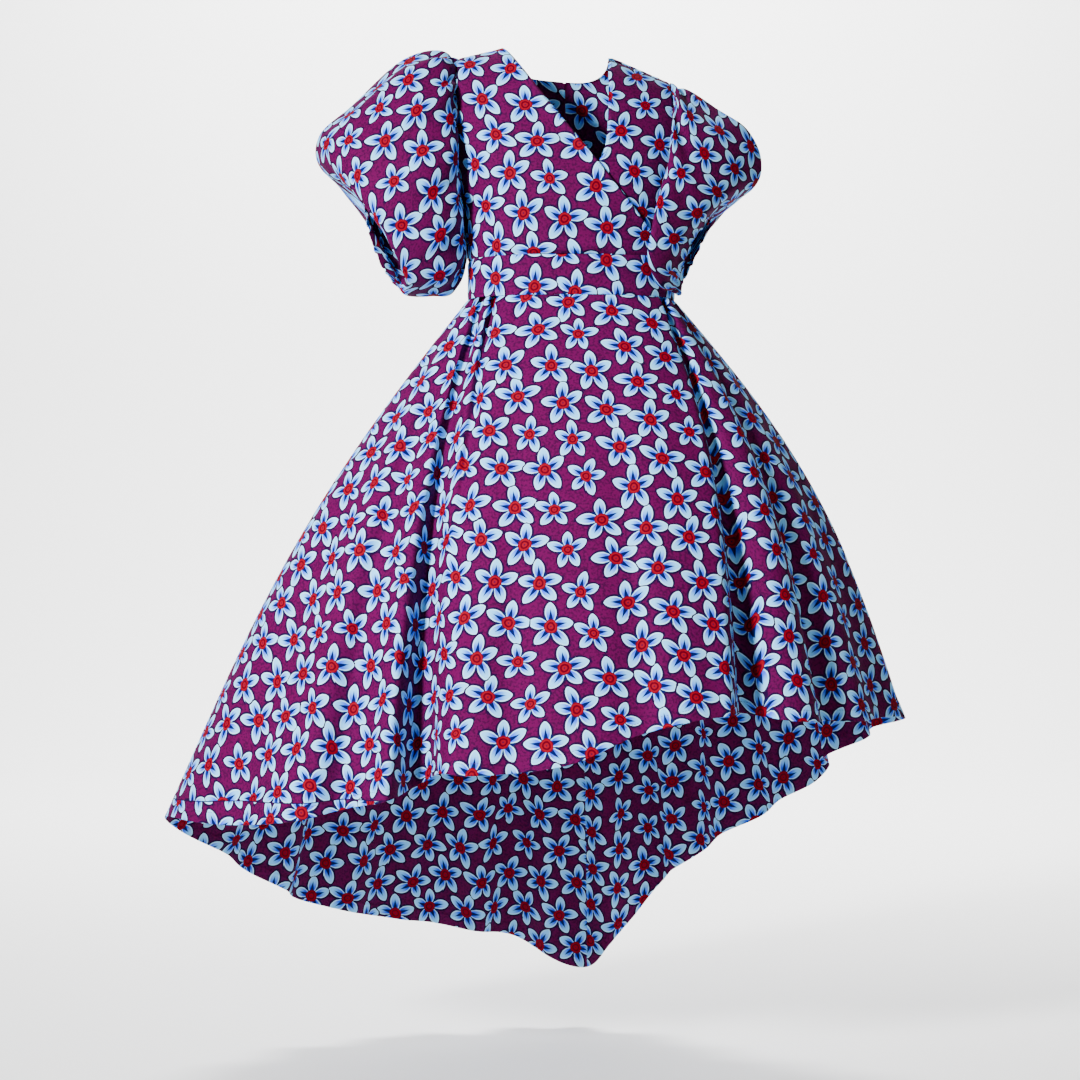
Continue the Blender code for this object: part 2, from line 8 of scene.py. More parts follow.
import bpy
import numpy as np
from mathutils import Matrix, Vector


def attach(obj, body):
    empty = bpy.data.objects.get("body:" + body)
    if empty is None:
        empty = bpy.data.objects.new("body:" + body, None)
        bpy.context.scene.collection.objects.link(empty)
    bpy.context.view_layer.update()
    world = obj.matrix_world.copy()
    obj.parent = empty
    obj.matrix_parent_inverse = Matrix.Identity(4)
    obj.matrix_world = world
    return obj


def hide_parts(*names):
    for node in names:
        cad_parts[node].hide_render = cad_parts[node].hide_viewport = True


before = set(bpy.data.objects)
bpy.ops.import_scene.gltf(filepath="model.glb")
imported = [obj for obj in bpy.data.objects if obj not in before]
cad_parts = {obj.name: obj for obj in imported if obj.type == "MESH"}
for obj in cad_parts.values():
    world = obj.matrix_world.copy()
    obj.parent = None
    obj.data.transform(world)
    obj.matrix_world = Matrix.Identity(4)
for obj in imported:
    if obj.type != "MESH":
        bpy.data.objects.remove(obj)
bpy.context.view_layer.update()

# Cloth of the shells, and how far the front below lies in under the front on top
CLOTH_THICKNESS = 0.0007
FRONT_LAP = 0.0034

# Ends of a surface's second number: on the body, and on the skirt and the sleeves
BODY_LIMITS = (-1, 2)
WHOLE_LENGTH = (0, 1)

# Levels of the body of the dress, up its middle
SHOULDER_LEVEL = 0.025
ARMPIT_LEVEL = -0.225
BAND_TOP_LEVEL = -0.296
WAIST_LEVEL = -0.352
ARCH_MIDDLE = (SHOULDER_LEVEL + ARMPIT_LEVEL) / 2
ARCH_HALF = (SHOULDER_LEVEL - ARMPIT_LEVEL) / 2

# Rounding of the body, depth of its armholes, and the points and the low of its neckline
RING_POWER = 2.3
SHOULDER_ROLL = 0.075
RIDGE_SOFTNESS = 0.03
ARMHOLE_DEPTH = 0.052
BACK_NECK_LEVEL = -0.020
NECK_RIGHT_X = -0.075
NECK_LEFT_X = 0.080

# Skirt: how far its bulge leans to the waist, the power at which its folds deepen to the hem, how far the
# folds in front are turned to straight back, and the degrees over which its slope round the body is read
BULGE_SKEW = 0.25
FOLD_GROWTH = 1.3
FRONT_PUSH = 0.85
SLOPE_STEP = 0.5

# Close lines of the grids, by their distance from an edge: sewn ends, sewn sides, which run 0.3 mm past
# their seam, turned neck edges, and hems
SEAM_LINES = (0.0, 0.0010, 0.0020, 0.0034, 0.0052, 0.0080)
CROSSED_LINES = (-0.0003, 0.0010, 0.0020, 0.0034, 0.0052, 0.0080)
EDGE_LINES = (0.0, 0.0007, 0.0020, 0.0040, 0.0056, 0.0064, 0.0072, 0.0090, 0.0120)
HEM_LINES = (0.0, 0.0007, 0.0020, 0.0060, 0.0110, 0.0145, 0.0158, 0.0165, 0.0172, 0.0185, 0.0210, 0.0250)

# Relief along the edges, each height with its reach: a seam's dip and the share of it at the waist, the
# lift and the inward roll of a turned neck edge, the groove of a row of stitches, and a doubled hem's step
SEAM_DEPTH = 0.0022
SEAM_WIDTH = 0.0034
WAIST_SEAM_SHARE = 0.4
EDGE_LIFT = 0.0050
EDGE_LIFT_REACH = 0.011
EDGE_ROLL = 0.0036
EDGE_ROLL_REACH = 0.0024
GROOVE_DEPTH = 0.0004
GROOVE_WIDTH = 0.0011
HEM_DEPTH = 0.0180
HEM_STEP = 0.0006

# Lines of the grids between the close ones, and the lengths and widths over which they are spread
BODICE_LENGTH = 0.38
BODICE_ROWS = 76
FRONT_WIDTH = 0.32
FRONT_COLUMNS = 66
BAND_HEIGHT = 0.056
BAND_ROWS = 10
BAND_WIDTH = 0.44
BAND_COLUMNS = 70
HEM_WIDTH = 1.5
SKIRT_COLUMNS = 300
SKIRT_ROWS = 112
SLEEVE_LENGTH = 0.34
SLEEVE_ROWS = 76
SLEEVE_COLUMNS = 240

# Samples of the lines and of the net that places are read from, and the turns that the net spans
LINE_SAMPLES = 400
ARMHOLE_SAMPLES = 193
FLAT_SAMPLES = 371
FLAT_TURNS = (-95, 275)

# Pieces of the waistband and of the skirt: where each starts and ends round the body, and the angle of the
# sector that the skirt's piece is laid out to, in degrees
PANELS = (
    ("front", -90, 90, 66),
    ("back_left", 90, 180, 42),
    ("back_right", 180, 270, 42),
)

# Stitches, and their distance from a neck edge and from a hem
STITCH_LENGTH = 0.0030
STITCH_GAP = 0.0012
STITCH_RADIUS = 0.00028
STITCH_SIDES = 6
STITCH_PROFILE = (0.35, 0.9, 1.0, 0.9, 0.35)
NECK_STITCH = 0.0064
HEM_STITCH = 0.0165

# The print, in metres on the cloth: steps to the next flower in a row and to the next row, how far a flower
# is shifted and, in petals, twisted at random, its radius, and the share and the size of small flowers
CLOTH_MAP = "cloth"
FLOWER_ROW = (0.0602, -0.0116)
FLOWER_COLUMN = (0.0174, -0.0580)
FLOWER_SHIFT = 0.006
FLOWER_TWIST = 0.50
FLOWER_RADIUS = 0.0320
SMALL_FLOWERS = 0.15
SMALLER_BY = 0.15

# Form of a flower, as shares of its radius: five petals that swell, come to a point and lean over, each by
# its own sway and reach, round a disc, with a rib up each petal and a line where two flowers meet. The
# pitches and the chance's turns set the petals out of step, and ten whole petals keep the count over 0.
PETAL_ANGLE = 2 * np.pi / 5
PETAL_SWELL = 0.90
PETAL_POINT = 0.68
PETAL_WIDTH = 0.72
PETAL_LEAN = 0.13
PETAL_REACH = 0.07
SWAY_PITCH = 2.3
REACH_PITCH = 3.7
CHANCE_TURNS = 40.0
WHOLE_PETALS = 10
DISC = 0.30
DISC_RING = 0.5 * DISC
OVERLAP_LINE = 0.070
RIB_END = 0.74
RIB_WIDTH = 0.155

# Edges between the colours of the print: where each lies and the width over which it softens, as shares of
# the flower's radius. The mottle's edge is a level of its noise.
MOTTLE_EDGE = (0.47, 0.16)
OUTLINE_EDGE = (0.100, 0.03)
PETAL_EDGE = (0.0, 0.018)
BLUE_EDGE = (0.61, 0.48)
RIM_EDGE = (-0.05, 0.05)
RIB_EDGE = (0.0, 0.02)
WEDGE_EDGE = (0.50, 0.10)
WEDGE_SIDE = (-0.020, 0.03)
DISC_EDGE = (DISC, 0.015)
DISC_RIM_EDGE = (0.88 * DISC, 0.03)
DISC_RING_EDGE = (0.12 * DISC, 0.03)
DOT_EDGE = (0.12 * DISC, 0.02)

# Noise on the cloth, in waves for each metre: fine and coarse mottle, fading, fuzz and patches of gloss
FINE_MOTTLE = 260.0
FINE_DETAIL = 3.0
FINE_SHARE = 0.8
COARSE_MOTTLE = 45.0
FADING = 9.0
FADED_TONE = (0.92, 1.08)
FUZZ = 900.0
GLOSS_PATCHES = 130.0
CLOTH_ROUGHNESS = (0.74, 0.86)

# Weave and thread: radians for each metre, relief and gloss
THREADS = 7000.0
WEAVE_RELIEF = 0.0002
WEAVE_STRENGTH = 0.25
CLOTH_SPECULAR = 0.04
PLIES = 9000.0
THREAD_ROUGHNESS = 0.60
THREAD_SPECULAR = 0.08

# Colours
GROUND = (0.0800, 0.0000, 0.0440, 1.0)
GROUND_DARK = (0.0400, 0.0000, 0.0290, 1.0)
INK = (0.0120, 0.0002, 0.0260, 1.0)
PETAL = (0.1800, 0.5800, 0.9900, 1.0)
PETAL_RIM = (0.4200, 0.7600, 0.9900, 1.0)
PETAL_BLUE = (0.0220, 0.0800, 0.7800, 1.0)
NAVY = (0.0020, 0.0040, 0.0600, 1.0)
RED = (0.2100, 0.0000, 0.0080, 1.0)
RED_DARK = (0.0700, 0.0000, 0.0060, 1.0)
DOT = (0.0400, 0.0040, 0.0300, 1.0)
PAPER = (0.90, 0.90, 0.90, 1.0)
WHITE = (1.0, 1.0, 1.0, 1.0)

# Studio: the floor's level, its ends, the radius of its bend, the height of the wall behind and the reach
# to each side, its rows and the shares of them at which the bend starts and ends
FLOOR_LEVEL = -1.475
FLOOR_FRONT = -24.0
FLOOR_BACK = 4.5
FLOOR_BEND = 1.5
FLOOR_WALL = 5.0
FLOOR_REACH = 24.0
FLOOR_ROWS = 60
BEND_ROWS = (0.45, 0.70)
PAPER_ROUGHNESS = 0.9

# Camera, with its lens and frame in millimetres, and the strength of the light from all round
CAMERA_PLACE = (-0.0203, -3.70, -0.699)
LENS = 85
LENS_FRAME = 36
WORLD_LIGHT = 0.13

# Each lamp's name, place, aim, size, spread in degrees and power
LIGHTS = (
    ("front_light", (-2.4, -3.3, 0.9), (0.0, 0.0, -0.7), 0.7, 60, 67),
    ("side_light", (2.8, -2.4, 0.2), (0.1, 0.0, -0.7), 1.4, 60, 2),
    ("wall_light", (0.0, 2.6, 3.4), (0.0, 5.9, 0.2), 2.4, 180, 1200),
)

# Where each piece was cut from the printed cloth, and its tilt in degrees
LAID_AT = {
    "bodice_front_over": (0.31, 0.22, 0),
    "bodice_front_under": (0.83, 0.57, 4),
    "bodice_back_left": (1.42, 0.13, -2),
    "bodice_back_right": (1.97, 0.41, 3),
    "waistband_front": (0.36, 1.24, 0),
    "waistband_back_left": (1.13, 1.37, 0),
    "waistband_back_right": (1.74, 1.29, 0),
    "skirt_front": (0.42, 2.61, 0),
    "skirt_back_left": (1.93, 3.07, 0),
    "skirt_back_right": (3.21, 3.18, 0),
    "sleeve_right": (0.52, 4.33, 0),
    "sleeve_left": (1.57, 4.21, 0),
}

# Creases of each piece, placed on its flat cloth. A row holds the start and the end of the line,
# how far it bows, the depth at its start and at its end, and its width. The flat cloth of the body counts
# from the centre front and up from the waist, the skirt's from the middle of its top edge, and the
# sleeve's from its front and down from the armhole.
CREASES = {
    "bodice_front_over": (
        (0.003, 0.092, 0.098, 0.057, -0.007, 0.0034, 0.0012, 0.0075),
        (-0.020, 0.082, 0.060, 0.059, -0.004, 0.0016, 0.0026, 0.0060),
        (-0.148, 0.118, -0.085, 0.075, 0.006, 0.0022, 0.0008, 0.0110),
        (-0.165, 0.135, -0.110, 0.160, -0.005, 0.0030, 0.0006, 0.0095),
        (-0.172, 0.190, -0.128, 0.228, 0.004, 0.0024, 0.0007, 0.0120),
        (-0.070, 0.062, -0.052, 0.098, 0.002, 0.0020, 0.0004, 0.0085),
        (-0.118, 0.060, -0.108, 0.088, -0.002, 0.0016, 0.0003, 0.0065),
        (-0.140, 0.318, -0.100, 0.268, 0.006, 0.0018, 0.0006, 0.0140),
        (0.020, 0.118, 0.090, 0.078, -0.005, -0.0014, -0.0006, 0.0080),
        (-0.102, 0.070, 0.034, 0.067, 0.002, -0.0030, -0.0054, 0.0085),
    ),
    "bodice_front_under": (
        (0.172, 0.128, 0.128, 0.182, 0.006, 0.0030, 0.0008, 0.0100),
        (0.168, 0.172, 0.118, 0.238, -0.005, 0.0022, 0.0006, 0.0120),
        (0.104, 0.338, 0.132, 0.276, 0.004, 0.0016, 0.0005, 0.0110),
        (0.088, 0.150, 0.120, 0.126, 0.002, 0.0014, 0.0010, 0.0070),
        (0.150, 0.104, 0.118, 0.142, 0.003, 0.0018, 0.0006, 0.0075),
    ),
    "bodice_back_left": (
        (0.290, 0.060, 0.300, 0.128, 0.003, 0.0024, 0.0005, 0.0090),
        (0.330, 0.058, 0.322, 0.102, -0.002, 0.0018, 0.0004, 0.0070),
        (0.256, 0.120, 0.310, 0.176, 0.006, 0.0030, 0.0008, 0.0120),
        (0.262, 0.196, 0.322, 0.232, -0.004, 0.0020, 0.0006, 0.0130),
        (0.368, 0.062, 0.362, 0.086, 0.001, 0.0014, 0.0003, 0.0060),
        (0.300, 0.330, 0.348, 0.282, 0.004, 0.0016, 0.0006, 0.0120),
    ),
    "bodice_back_right": (
        (0.462, 0.059, 0.470, 0.112, -0.002, 0.0020, 0.0005, 0.0080),
        (0.512, 0.060, 0.498, 0.138, 0.003, 0.0026, 0.0006, 0.0100),
        (0.560, 0.126, 0.498, 0.168, -0.006, 0.0028, 0.0007, 0.0110),
        (0.556, 0.214, 0.482, 0.250, 0.005, 0.0022, 0.0005, 0.0130),
        (0.440, 0.340, 0.492, 0.300, -0.003, 0.0014, 0.0005, 0.0120),
    ),
    "waistband_front": (
        (-0.118, 0.006, -0.096, 0.048, 0.002, 0.0012, 0.0005, 0.0070),
        (-0.164, 0.030, -0.092, 0.024, -0.002, 0.0016, 0.0004, 0.0060),
        (0.038, 0.010, 0.062, 0.050, 0.001, 0.0009, 0.0012, 0.0080),
        (0.098, 0.020, 0.168, 0.032, 0.003, 0.0005, 0.0017, 0.0065),
        (-0.030, 0.048, 0.012, 0.036, 0.001, 0.0010, 0.0004, 0.0060),
    ),
    "waistband_back_left": (
        (0.250, 0.028, 0.300, 0.022, 0.002, 0.0016, 0.0004, 0.0070),
        (0.318, 0.008, 0.330, 0.050, -0.001, 0.0010, 0.0006, 0.0080),
        (0.352, 0.034, 0.376, 0.040, 0.001, 0.0008, 0.0004, 0.0055),
    ),
    "waistband_back_right": (
        (0.440, 0.044, 0.462, 0.008, 0.001, 0.0009, 0.0007, 0.0075),
        (0.492, 0.020, 0.552, 0.030, -0.002, 0.0004, 0.0017, 0.0070),
        (0.412, 0.018, 0.430, 0.030, 0.001, 0.0008, 0.0003, 0.0050),
    ),
    "skirt_front": (
        (-0.075, -0.004, -0.098, -0.118, 0.003, 0.0030, 0.0006, 0.0060),
        (-0.172, -0.024, -0.232, -0.214, 0.006, 0.0034, 0.0010, 0.0100),
        (-0.206, -0.060, -0.322, -0.330, 0.012, 0.0028, 0.0030, 0.0160),
        (-0.142, -0.020, -0.160, -0.104, -0.003, 0.0024, 0.0005, 0.0070),
        (-0.330, -0.470, -0.398, -0.622, 0.010, 0.0020, 0.0060, 0.0240),
        (-0.214, -0.360, -0.262, -0.676, -0.010, 0.0010, 0.0050, 0.0210),
        (-0.420, -0.380, -0.520, -0.560, 0.012, 0.0030, 0.0070, 0.0260),
        (-0.110, -0.300, -0.140, -0.520, 0.008, 0.0008, 0.0022, 0.0260),
        (0.024, -0.200, 0.046, -0.430, -0.008, 0.0006, 0.0020, 0.0300),
        (0.060, -0.004, 0.070, -0.066, 0.002, 0.0016, 0.0004, 0.0060),
        (0.150, -0.020, 0.168, -0.134, 0.003, 0.0030, 0.0006, 0.0075),
        (0.186, -0.040, 0.262, -0.246, -0.008, 0.0026, 0.0016, 0.0120),
        (0.228, -0.186, 0.300, -0.420, 0.010, 0.0010, 0.0046, 0.0180),
        (0.336, -0.240, 0.452, -0.480, -0.010, 0.0016, 0.0060, 0.0220),
        (0.176, -0.420, 0.204, -0.640, 0.006, 0.0010, 0.0044, 0.0200),
        (-0.010, -0.420, -0.030, -0.640, 0.006, -0.0006, -0.0024, 0.0340),
    ),
    "skirt_back_left": (
        (-0.076, -0.010, -0.104, -0.150, 0.004, 0.0034, 0.0008, 0.0080),
        (-0.038, -0.004, -0.050, -0.092, -0.003, 0.0026, 0.0005, 0.0060),
        (0.004, -0.002, 0.002, -0.178, 0.005, 0.0038, 0.0008, 0.0080),
        (0.034, -0.004, 0.048, -0.070, 0.002, 0.0022, 0.0004, 0.0055),
        (0.070, -0.010, 0.096, -0.128, -0.004, 0.0030, 0.0007, 0.0075),
        (-0.140, -0.260, -0.230, -0.560, 0.012, 0.0014, 0.0056, 0.0200),
        (-0.048, -0.380, -0.080, -0.760, -0.010, 0.0010, 0.0060, 0.0230),
        (0.052, -0.300, 0.090, -0.700, 0.010, 0.0012, 0.0050, 0.0190),
        (0.140, -0.420, 0.236, -0.860, -0.012, 0.0016, 0.0064, 0.0260),
        (-0.262, -0.420, -0.330, -0.600, 0.008, 0.0010, 0.0048, 0.0180),
        (0.196, -0.240, 0.268, -0.470, 0.008, 0.0010, 0.0034, 0.0160),
    ),
    "skirt_back_right": (
        (-0.070, -0.008, -0.092, -0.110, 0.003, 0.0028, 0.0006, 0.0070),
        (-0.030, -0.003, -0.038, -0.166, -0.004, 0.0036, 0.0009, 0.0085),
        (0.012, -0.002, 0.018, -0.080, 0.002, 0.0020, 0.0004, 0.0055),
        (0.046, -0.004, 0.062, -0.142, 0.004, 0.0032, 0.0007, 0.0075),
        (0.082, -0.012, 0.104, -0.090, -0.002, 0.0024, 0.0005, 0.0065),
        (-0.176, -0.300, -0.268, -0.640, -0.012, 0.0012, 0.0060, 0.0220),
        (-0.098, -0.420, -0.150, -0.860, 0.012, 0.0014, 0.0052, 0.0240),
        (0.020, -0.330, 0.034, -0.740, -0.008, 0.0010, 0.0058, 0.0200),
        (0.120, -0.280, 0.176, -0.560, 0.010, 0.0012, 0.0046, 0.0180),
        (0.218, -0.380, 0.322, -0.640, -0.010, 0.0014, 0.0062, 0.0230),
        (-0.250, -0.230, -0.310, -0.420, 0.006, 0.0008, 0.0030, 0.0150),
    ),
    "sleeve_right": (
        (-0.186, -0.010, -0.150, -0.112, 0.010, 0.0040, 0.0010, 0.0110),
        (-0.118, -0.006, -0.104, -0.074, -0.005, 0.0030, 0.0006, 0.0080),
        (-0.060, -0.008, -0.052, -0.150, 0.008, 0.0044, 0.0010, 0.0120),
        (-0.010, -0.006, -0.020, -0.086, 0.004, 0.0028, 0.0006, 0.0080),
        (0.046, -0.010, 0.032, -0.128, -0.008, 0.0046, 0.0010, 0.0110),
        (0.094, -0.012, 0.082, -0.190, 0.008, 0.0060, 0.0016, 0.0140),
        (0.150, -0.020, 0.128, -0.120, -0.006, 0.0050, 0.0010, 0.0120),
        (0.214, -0.014, 0.190, -0.094, 0.006, 0.0036, 0.0008, 0.0100),
        (-0.150, -0.330, -0.158, -0.226, 0.006, 0.0044, 0.0008, 0.0100),
        (-0.090, -0.334, -0.084, -0.256, -0.004, 0.0034, 0.0006, 0.0080),
        (-0.034, -0.330, -0.046, -0.206, 0.008, 0.0050, 0.0010, 0.0110),
        (0.020, -0.332, 0.028, -0.244, -0.004, 0.0036, 0.0007, 0.0085),
        (0.076, -0.328, 0.070, -0.218, 0.006, 0.0046, 0.0009, 0.0100),
        (0.136, -0.322, 0.120, -0.200, -0.006, 0.0050, 0.0012, 0.0120),
        (-0.240, -0.318, -0.226, -0.232, 0.004, 0.0036, 0.0008, 0.0100),
        (0.222, -0.312, 0.200, -0.238, -0.004, 0.0036, 0.0007, 0.0095),
        (-0.280, -0.012, -0.262, -0.110, 0.006, 0.0038, 0.0010, 0.0110),
        (0.060, -0.170, 0.014, -0.262, 0.008, 0.0030, 0.0012, 0.0140),
    ),
    "sleeve_left": (
        (-0.176, -0.012, -0.150, -0.098, -0.006, 0.0038, 0.0008, 0.0100),
        (-0.108, -0.010, -0.092, -0.160, 0.008, 0.0054, 0.0014, 0.0130),
        (-0.046, -0.006, -0.040, -0.082, -0.004, 0.0030, 0.0006, 0.0085),
        (0.006, -0.008, 0.012, -0.138, 0.006, 0.0044, 0.0010, 0.0110),
        (0.062, -0.008, 0.050, -0.070, -0.003, 0.0028, 0.0006, 0.0075),
        (0.110, -0.012, 0.094, -0.116, 0.006, 0.0042, 0.0009, 0.0105),
        (0.170, -0.014, 0.146, -0.086, -0.004, 0.0034, 0.0007, 0.0090),
        (-0.140, -0.292, -0.122, -0.190, -0.006, 0.0044, 0.0010, 0.0100),
        (-0.078, -0.300, -0.086, -0.214, 0.004, 0.0034, 0.0007, 0.0085),
        (-0.022, -0.302, -0.014, -0.176, -0.006, 0.0050, 0.0010, 0.0115),
        (0.034, -0.300, 0.028, -0.222, 0.003, 0.0032, 0.0006, 0.0080),
        (0.088, -0.296, 0.078, -0.186, -0.005, 0.0046, 0.0010, 0.0105),
        (0.150, -0.288, 0.136, -0.202, 0.004, 0.0036, 0.0008, 0.0095),
        (-0.206, -0.276, -0.184, -0.196, 0.004, 0.0034, 0.0008, 0.0095),
        (0.212, -0.270, 0.186, -0.196, -0.004, 0.0034, 0.0008, 0.0100),
        (-0.060, -0.140, -0.006, -0.226, 0.008, 0.0028, 0.0012, 0.0140),
    ),
}

# Small uneven gathers of the sleeves at the armhole and the cuff: the number, share and start of each wave
# round the ring, and the height and the reach at each end
GATHER_WAVES = ((19, 1.0, 0.4), (31, 0.55, 2.1), (43, 0.3, 4.0))
HEAD_GATHER = (0.0017, 0.030)
CUFF_GATHER = (0.0011, 0.024)

# Small uneven puckers along the sewn and stitched edges: the number over the pitch, share and start of
# each wave, with the height and the reach
PUCKER_WAVES = ((1.0, 0.5, 0.0), (1.63, 0.3, 2.1), (2.71, 0.2, 1.0))
PUCKER_PITCH = 0.019
PUCKER_HEIGHT = 0.0005
PUCKER_REACH = 0.009

# Facing at the wearer's right of the front hem, where the print breaks off: the line's level and its slope
# in x, how far the facing's print is moved, and how far the ink of the line reaches to each side
FACING = "facing"
FACING_LINE = (-1.0316, 0.0735)
FACING_SHIFT = (0.0210, 0.0330)
FACING_INK = 0.0007

# Sleeves: the gathers round the tube, the share of its length over which its head runs out of the armhole,
# and the wall of the solids
SLEEVE_GATHERS = 12
HEAD_BLEND = 0.25
WALL = 0.002

# End of the sleeve at the armhole, by the angle from the shoulder tip: up to the first of these angles it
# butts in under the edge of the bodice, and past the second it lies just outside it
BUTT_ENDS = (60, 115)
HEAD_GAP = -0.0022
UNDERARM_GAP = 0.0004

# How far a sleeve keeps clear of the body, the shares of its length over which that grows and sets in, the
# angles from the shoulder tip between which it sets in, and the share of the way out from the body's
# middle under which a point is pushed no harder
SLEEVE_CLEARANCE = 0.003
CLEARANCE_RUN = 0.1
CLEARANCE_START = 0.03
CLEARED_PHASES = (20, 60)
DEEPEST_SHARE = 0.3

# Rounds in which a drooping ring's level is found, for a sleeve clear of the body and for a neckline edge
CLEAR_ROUNDS = 4
EDGE_ROUNDS = 8


def table(names, *rows):
    """A small table of sizes, held as one column for each name."""
    return dict(zip(names.split(), np.array(rows, dtype=float).T))


# Rings of the body: level at the middle, x of the centre, reach to the side, to the front and to the back,
# and how far the ring falls to +X and outwards
BODY = table(
    "level middle half_width front back tilt droop",
    (-0.400, 0.0245, 0.1530, 0.108, 0.100, 0.000, 0.00),
    (-0.352, 0.0247, 0.1503, 0.104, 0.095, 0.000, 0.00),
    (-0.296, 0.0250, 0.1505, 0.112, 0.097, 0.000, 0.00),
    (-0.260, 0.0248, 0.1530, 0.121, 0.100, 0.018, 0.00),
    (-0.225, 0.0245, 0.1565, 0.128, 0.103, 0.036, 0.01),
    (-0.175, 0.0230, 0.1680, 0.128, 0.106, 0.055, 0.04),
    (-0.110, 0.0200, 0.1760, 0.108, 0.105, 0.075, 0.12),
    (-0.050, 0.0170, 0.1790, 0.088, 0.092, 0.095, 0.24),
    (0.025, 0.0150, 0.1800, 0.070, 0.070, 0.110, 0.34),
)

# Neckline edges of the two fronts, as they are seen from the front
OVER_EDGE = table(
    "x z",
    (0.1780, -0.2780),
    (0.1600, -0.2730),
    (0.1370, -0.2600),
    (0.1050, -0.2210),
    (0.0610, -0.1670),
    (-0.0060, -0.0810),
    (-0.0490, -0.0210),
    (-0.0750, 0.0180),
)
UNDER_EDGE = table(
    "x z",
    (-0.0700, -0.2970),
    (-0.0300, -0.2550),
    (0.0150, -0.2130),
    (0.0560, -0.1730),
    (0.0700, -0.1500),
    (0.0760, -0.1200),
    (0.0790, -0.0600),
    (0.0800, -0.0030),
)

# Hem of the skirt by turn round the body, and how far the cloth bulges out between waist and hem
HEM = table(
    "turn x y z bulge",
    (-90, -0.563, -0.010, -1.099, 0.095),
    (-78, -0.462, -0.165, -1.097, 0.100),
    (-68, -0.352, -0.245, -1.080, 0.105),
    (-60, -0.272, -0.283, -1.060, 0.110),
    (-52, -0.212, -0.302, -1.044, 0.115),
    (-45, -0.170, -0.312, -1.018, 0.120),
    (-30, -0.118, -0.324, -1.012, 0.125),
    (-15, -0.050, -0.332, -1.008, 0.125),
    (0, 0.025, -0.335, -0.994, 0.125),
    (15, 0.095, -0.333, -0.964, 0.130),
    (30, 0.165, -0.322, -0.944, 0.135),
    (45, 0.235, -0.298, -0.934, 0.140),
    (60, 0.322, -0.255, -0.944, 0.150),
    (75, 0.420, -0.165, -0.952, 0.150),
    (90, 0.510, -0.010, -0.955, 0.148),
    (105, 0.486, 0.095, -0.985, 0.146),
    (120, 0.440, 0.165, -1.030, 0.145),
    (135, 0.372, 0.240, -1.098, 0.135),
    (150, 0.275, 0.320, -1.170, 0.125),
    (165, 0.172, 0.385, -1.250, 0.120),
    (180, 0.062, 0.425, -1.384, 0.115),
    (195, -0.070, 0.423, -1.335, 0.115),
    (210, -0.195, 0.400, -1.312, 0.110),
    (225, -0.310, 0.350, -1.290, 0.105),
    (240, -0.420, 0.270, -1.250, 0.100),
    (255, -0.510, 0.150, -1.175, 0.095),
    (270, -0.563, -0.010, -1.099, 0.095),
)

# Folds of the skirt that the solids have too. Turns and widths are in degrees.
FOLDS = table(
    "waist_turn hem_turn waist_depth hem_depth waist_width hem_width lean",
    (-46, -41, 0.018, 0.000, 2.4, 3.8, 0.35),
    (-58, -50, 0.014, 0.096, 3.0, 5.2, 0.50),
    (-70, -63, 0.006, 0.050, 4.0, 4.4, 0.40),
    (-80, -78, 0.002, 0.030, 4.6, 5.0, 0.30),
    (-24, -17, 0.000, 0.012, 5.0, 7.0, 0.20),
    (14, 20, 0.000, 0.016, 5.0, 7.0, -0.20),
    (57, 50, 0.018, 0.080, 2.8, 5.0, 0.45),
    (73, 70, 0.006, 0.044, 4.2, 4.8, 0.40),
    (84, 83, 0.001, 0.020, 4.0, 4.4, 0.20),
    (103, 101, 0.003, 0.030, 4.0, 4.6, 0.10),
    (116, 118, 0.004, 0.050, 4.2, 5.2, -0.25),
    (131, 135, 0.003, 0.036, 3.6, 4.4, 0.20),
    (145, 147, 0.005, 0.054, 4.0, 5.0, 0.20),
    (159, 160, 0.002, 0.028, 3.4, 4.0, -0.15),
    (172, 175, 0.004, 0.050, 4.0, 4.8, 0.25),
    (191, 188, 0.003, 0.034, 3.8, 4.2, -0.25),
    (205, 202, 0.005, 0.052, 4.2, 5.0, 0.15),
    (219, 216, 0.001, 0.024, 3.4, 4.2, 0.00),
    (232, 229, 0.003, 0.040, 4.0, 5.0, -0.20),
    (246, 243, 0.003, 0.038, 4.0, 4.6, 0.25),
    (258, 256, 0.002, 0.026, 4.0, 4.8, -0.10),
)

# Rings of the sleeves from armhole to cuff: the top and the low point of each oval, how far it bulges to
# the front and back, how far those lean out and the front sinks, and the depth of its gathers
SLEEVE_RING = "along top_x top_z low_x low_y low_z front back front_lean back_lean front_sink gather"
SLEEVE_RIGHT = table(
    SLEEVE_RING,
    (0.00, -0.1410, 0.0000, -0.1320, 0.000, -0.2190, 0.052, 0.052, 0.000, 0.000, 0.000, 0.000),
    (0.10, -0.1640, 0.0060, -0.1290, 0.000, -0.2860, 0.088, 0.086, 0.008, 0.008, 0.000, 0.030),
    (0.25, -0.2160, -0.0060, -0.1460, 0.000, -0.3330, 0.115, 0.110, 0.014, 0.012, 0.000, 0.024),
    (0.45, -0.2930, -0.0720, -0.1800, 0.000, -0.3430, 0.122, 0.118, 0.016, 0.018, 0.000, 0.010),
    (0.62, -0.3400, -0.1150, -0.2030, 0.000, -0.3440, 0.112, 0.110, 0.020, 0.022, 0.000, 0.010),
    (0.80, -0.3320, -0.1670, -0.2190, 0.000, -0.3400, 0.092, 0.092, 0.028, 0.016, 0.000, 0.022),
    (0.92, -0.2880, -0.1950, -0.2230, 0.000, -0.3340, 0.074, 0.070, 0.034, 0.000, -0.010, 0.030),
    (1.00, -0.2680, -0.2030, -0.2240, 0.000, -0.3270, 0.060, 0.060, 0.038, -0.020, -0.014, 0.018),
)
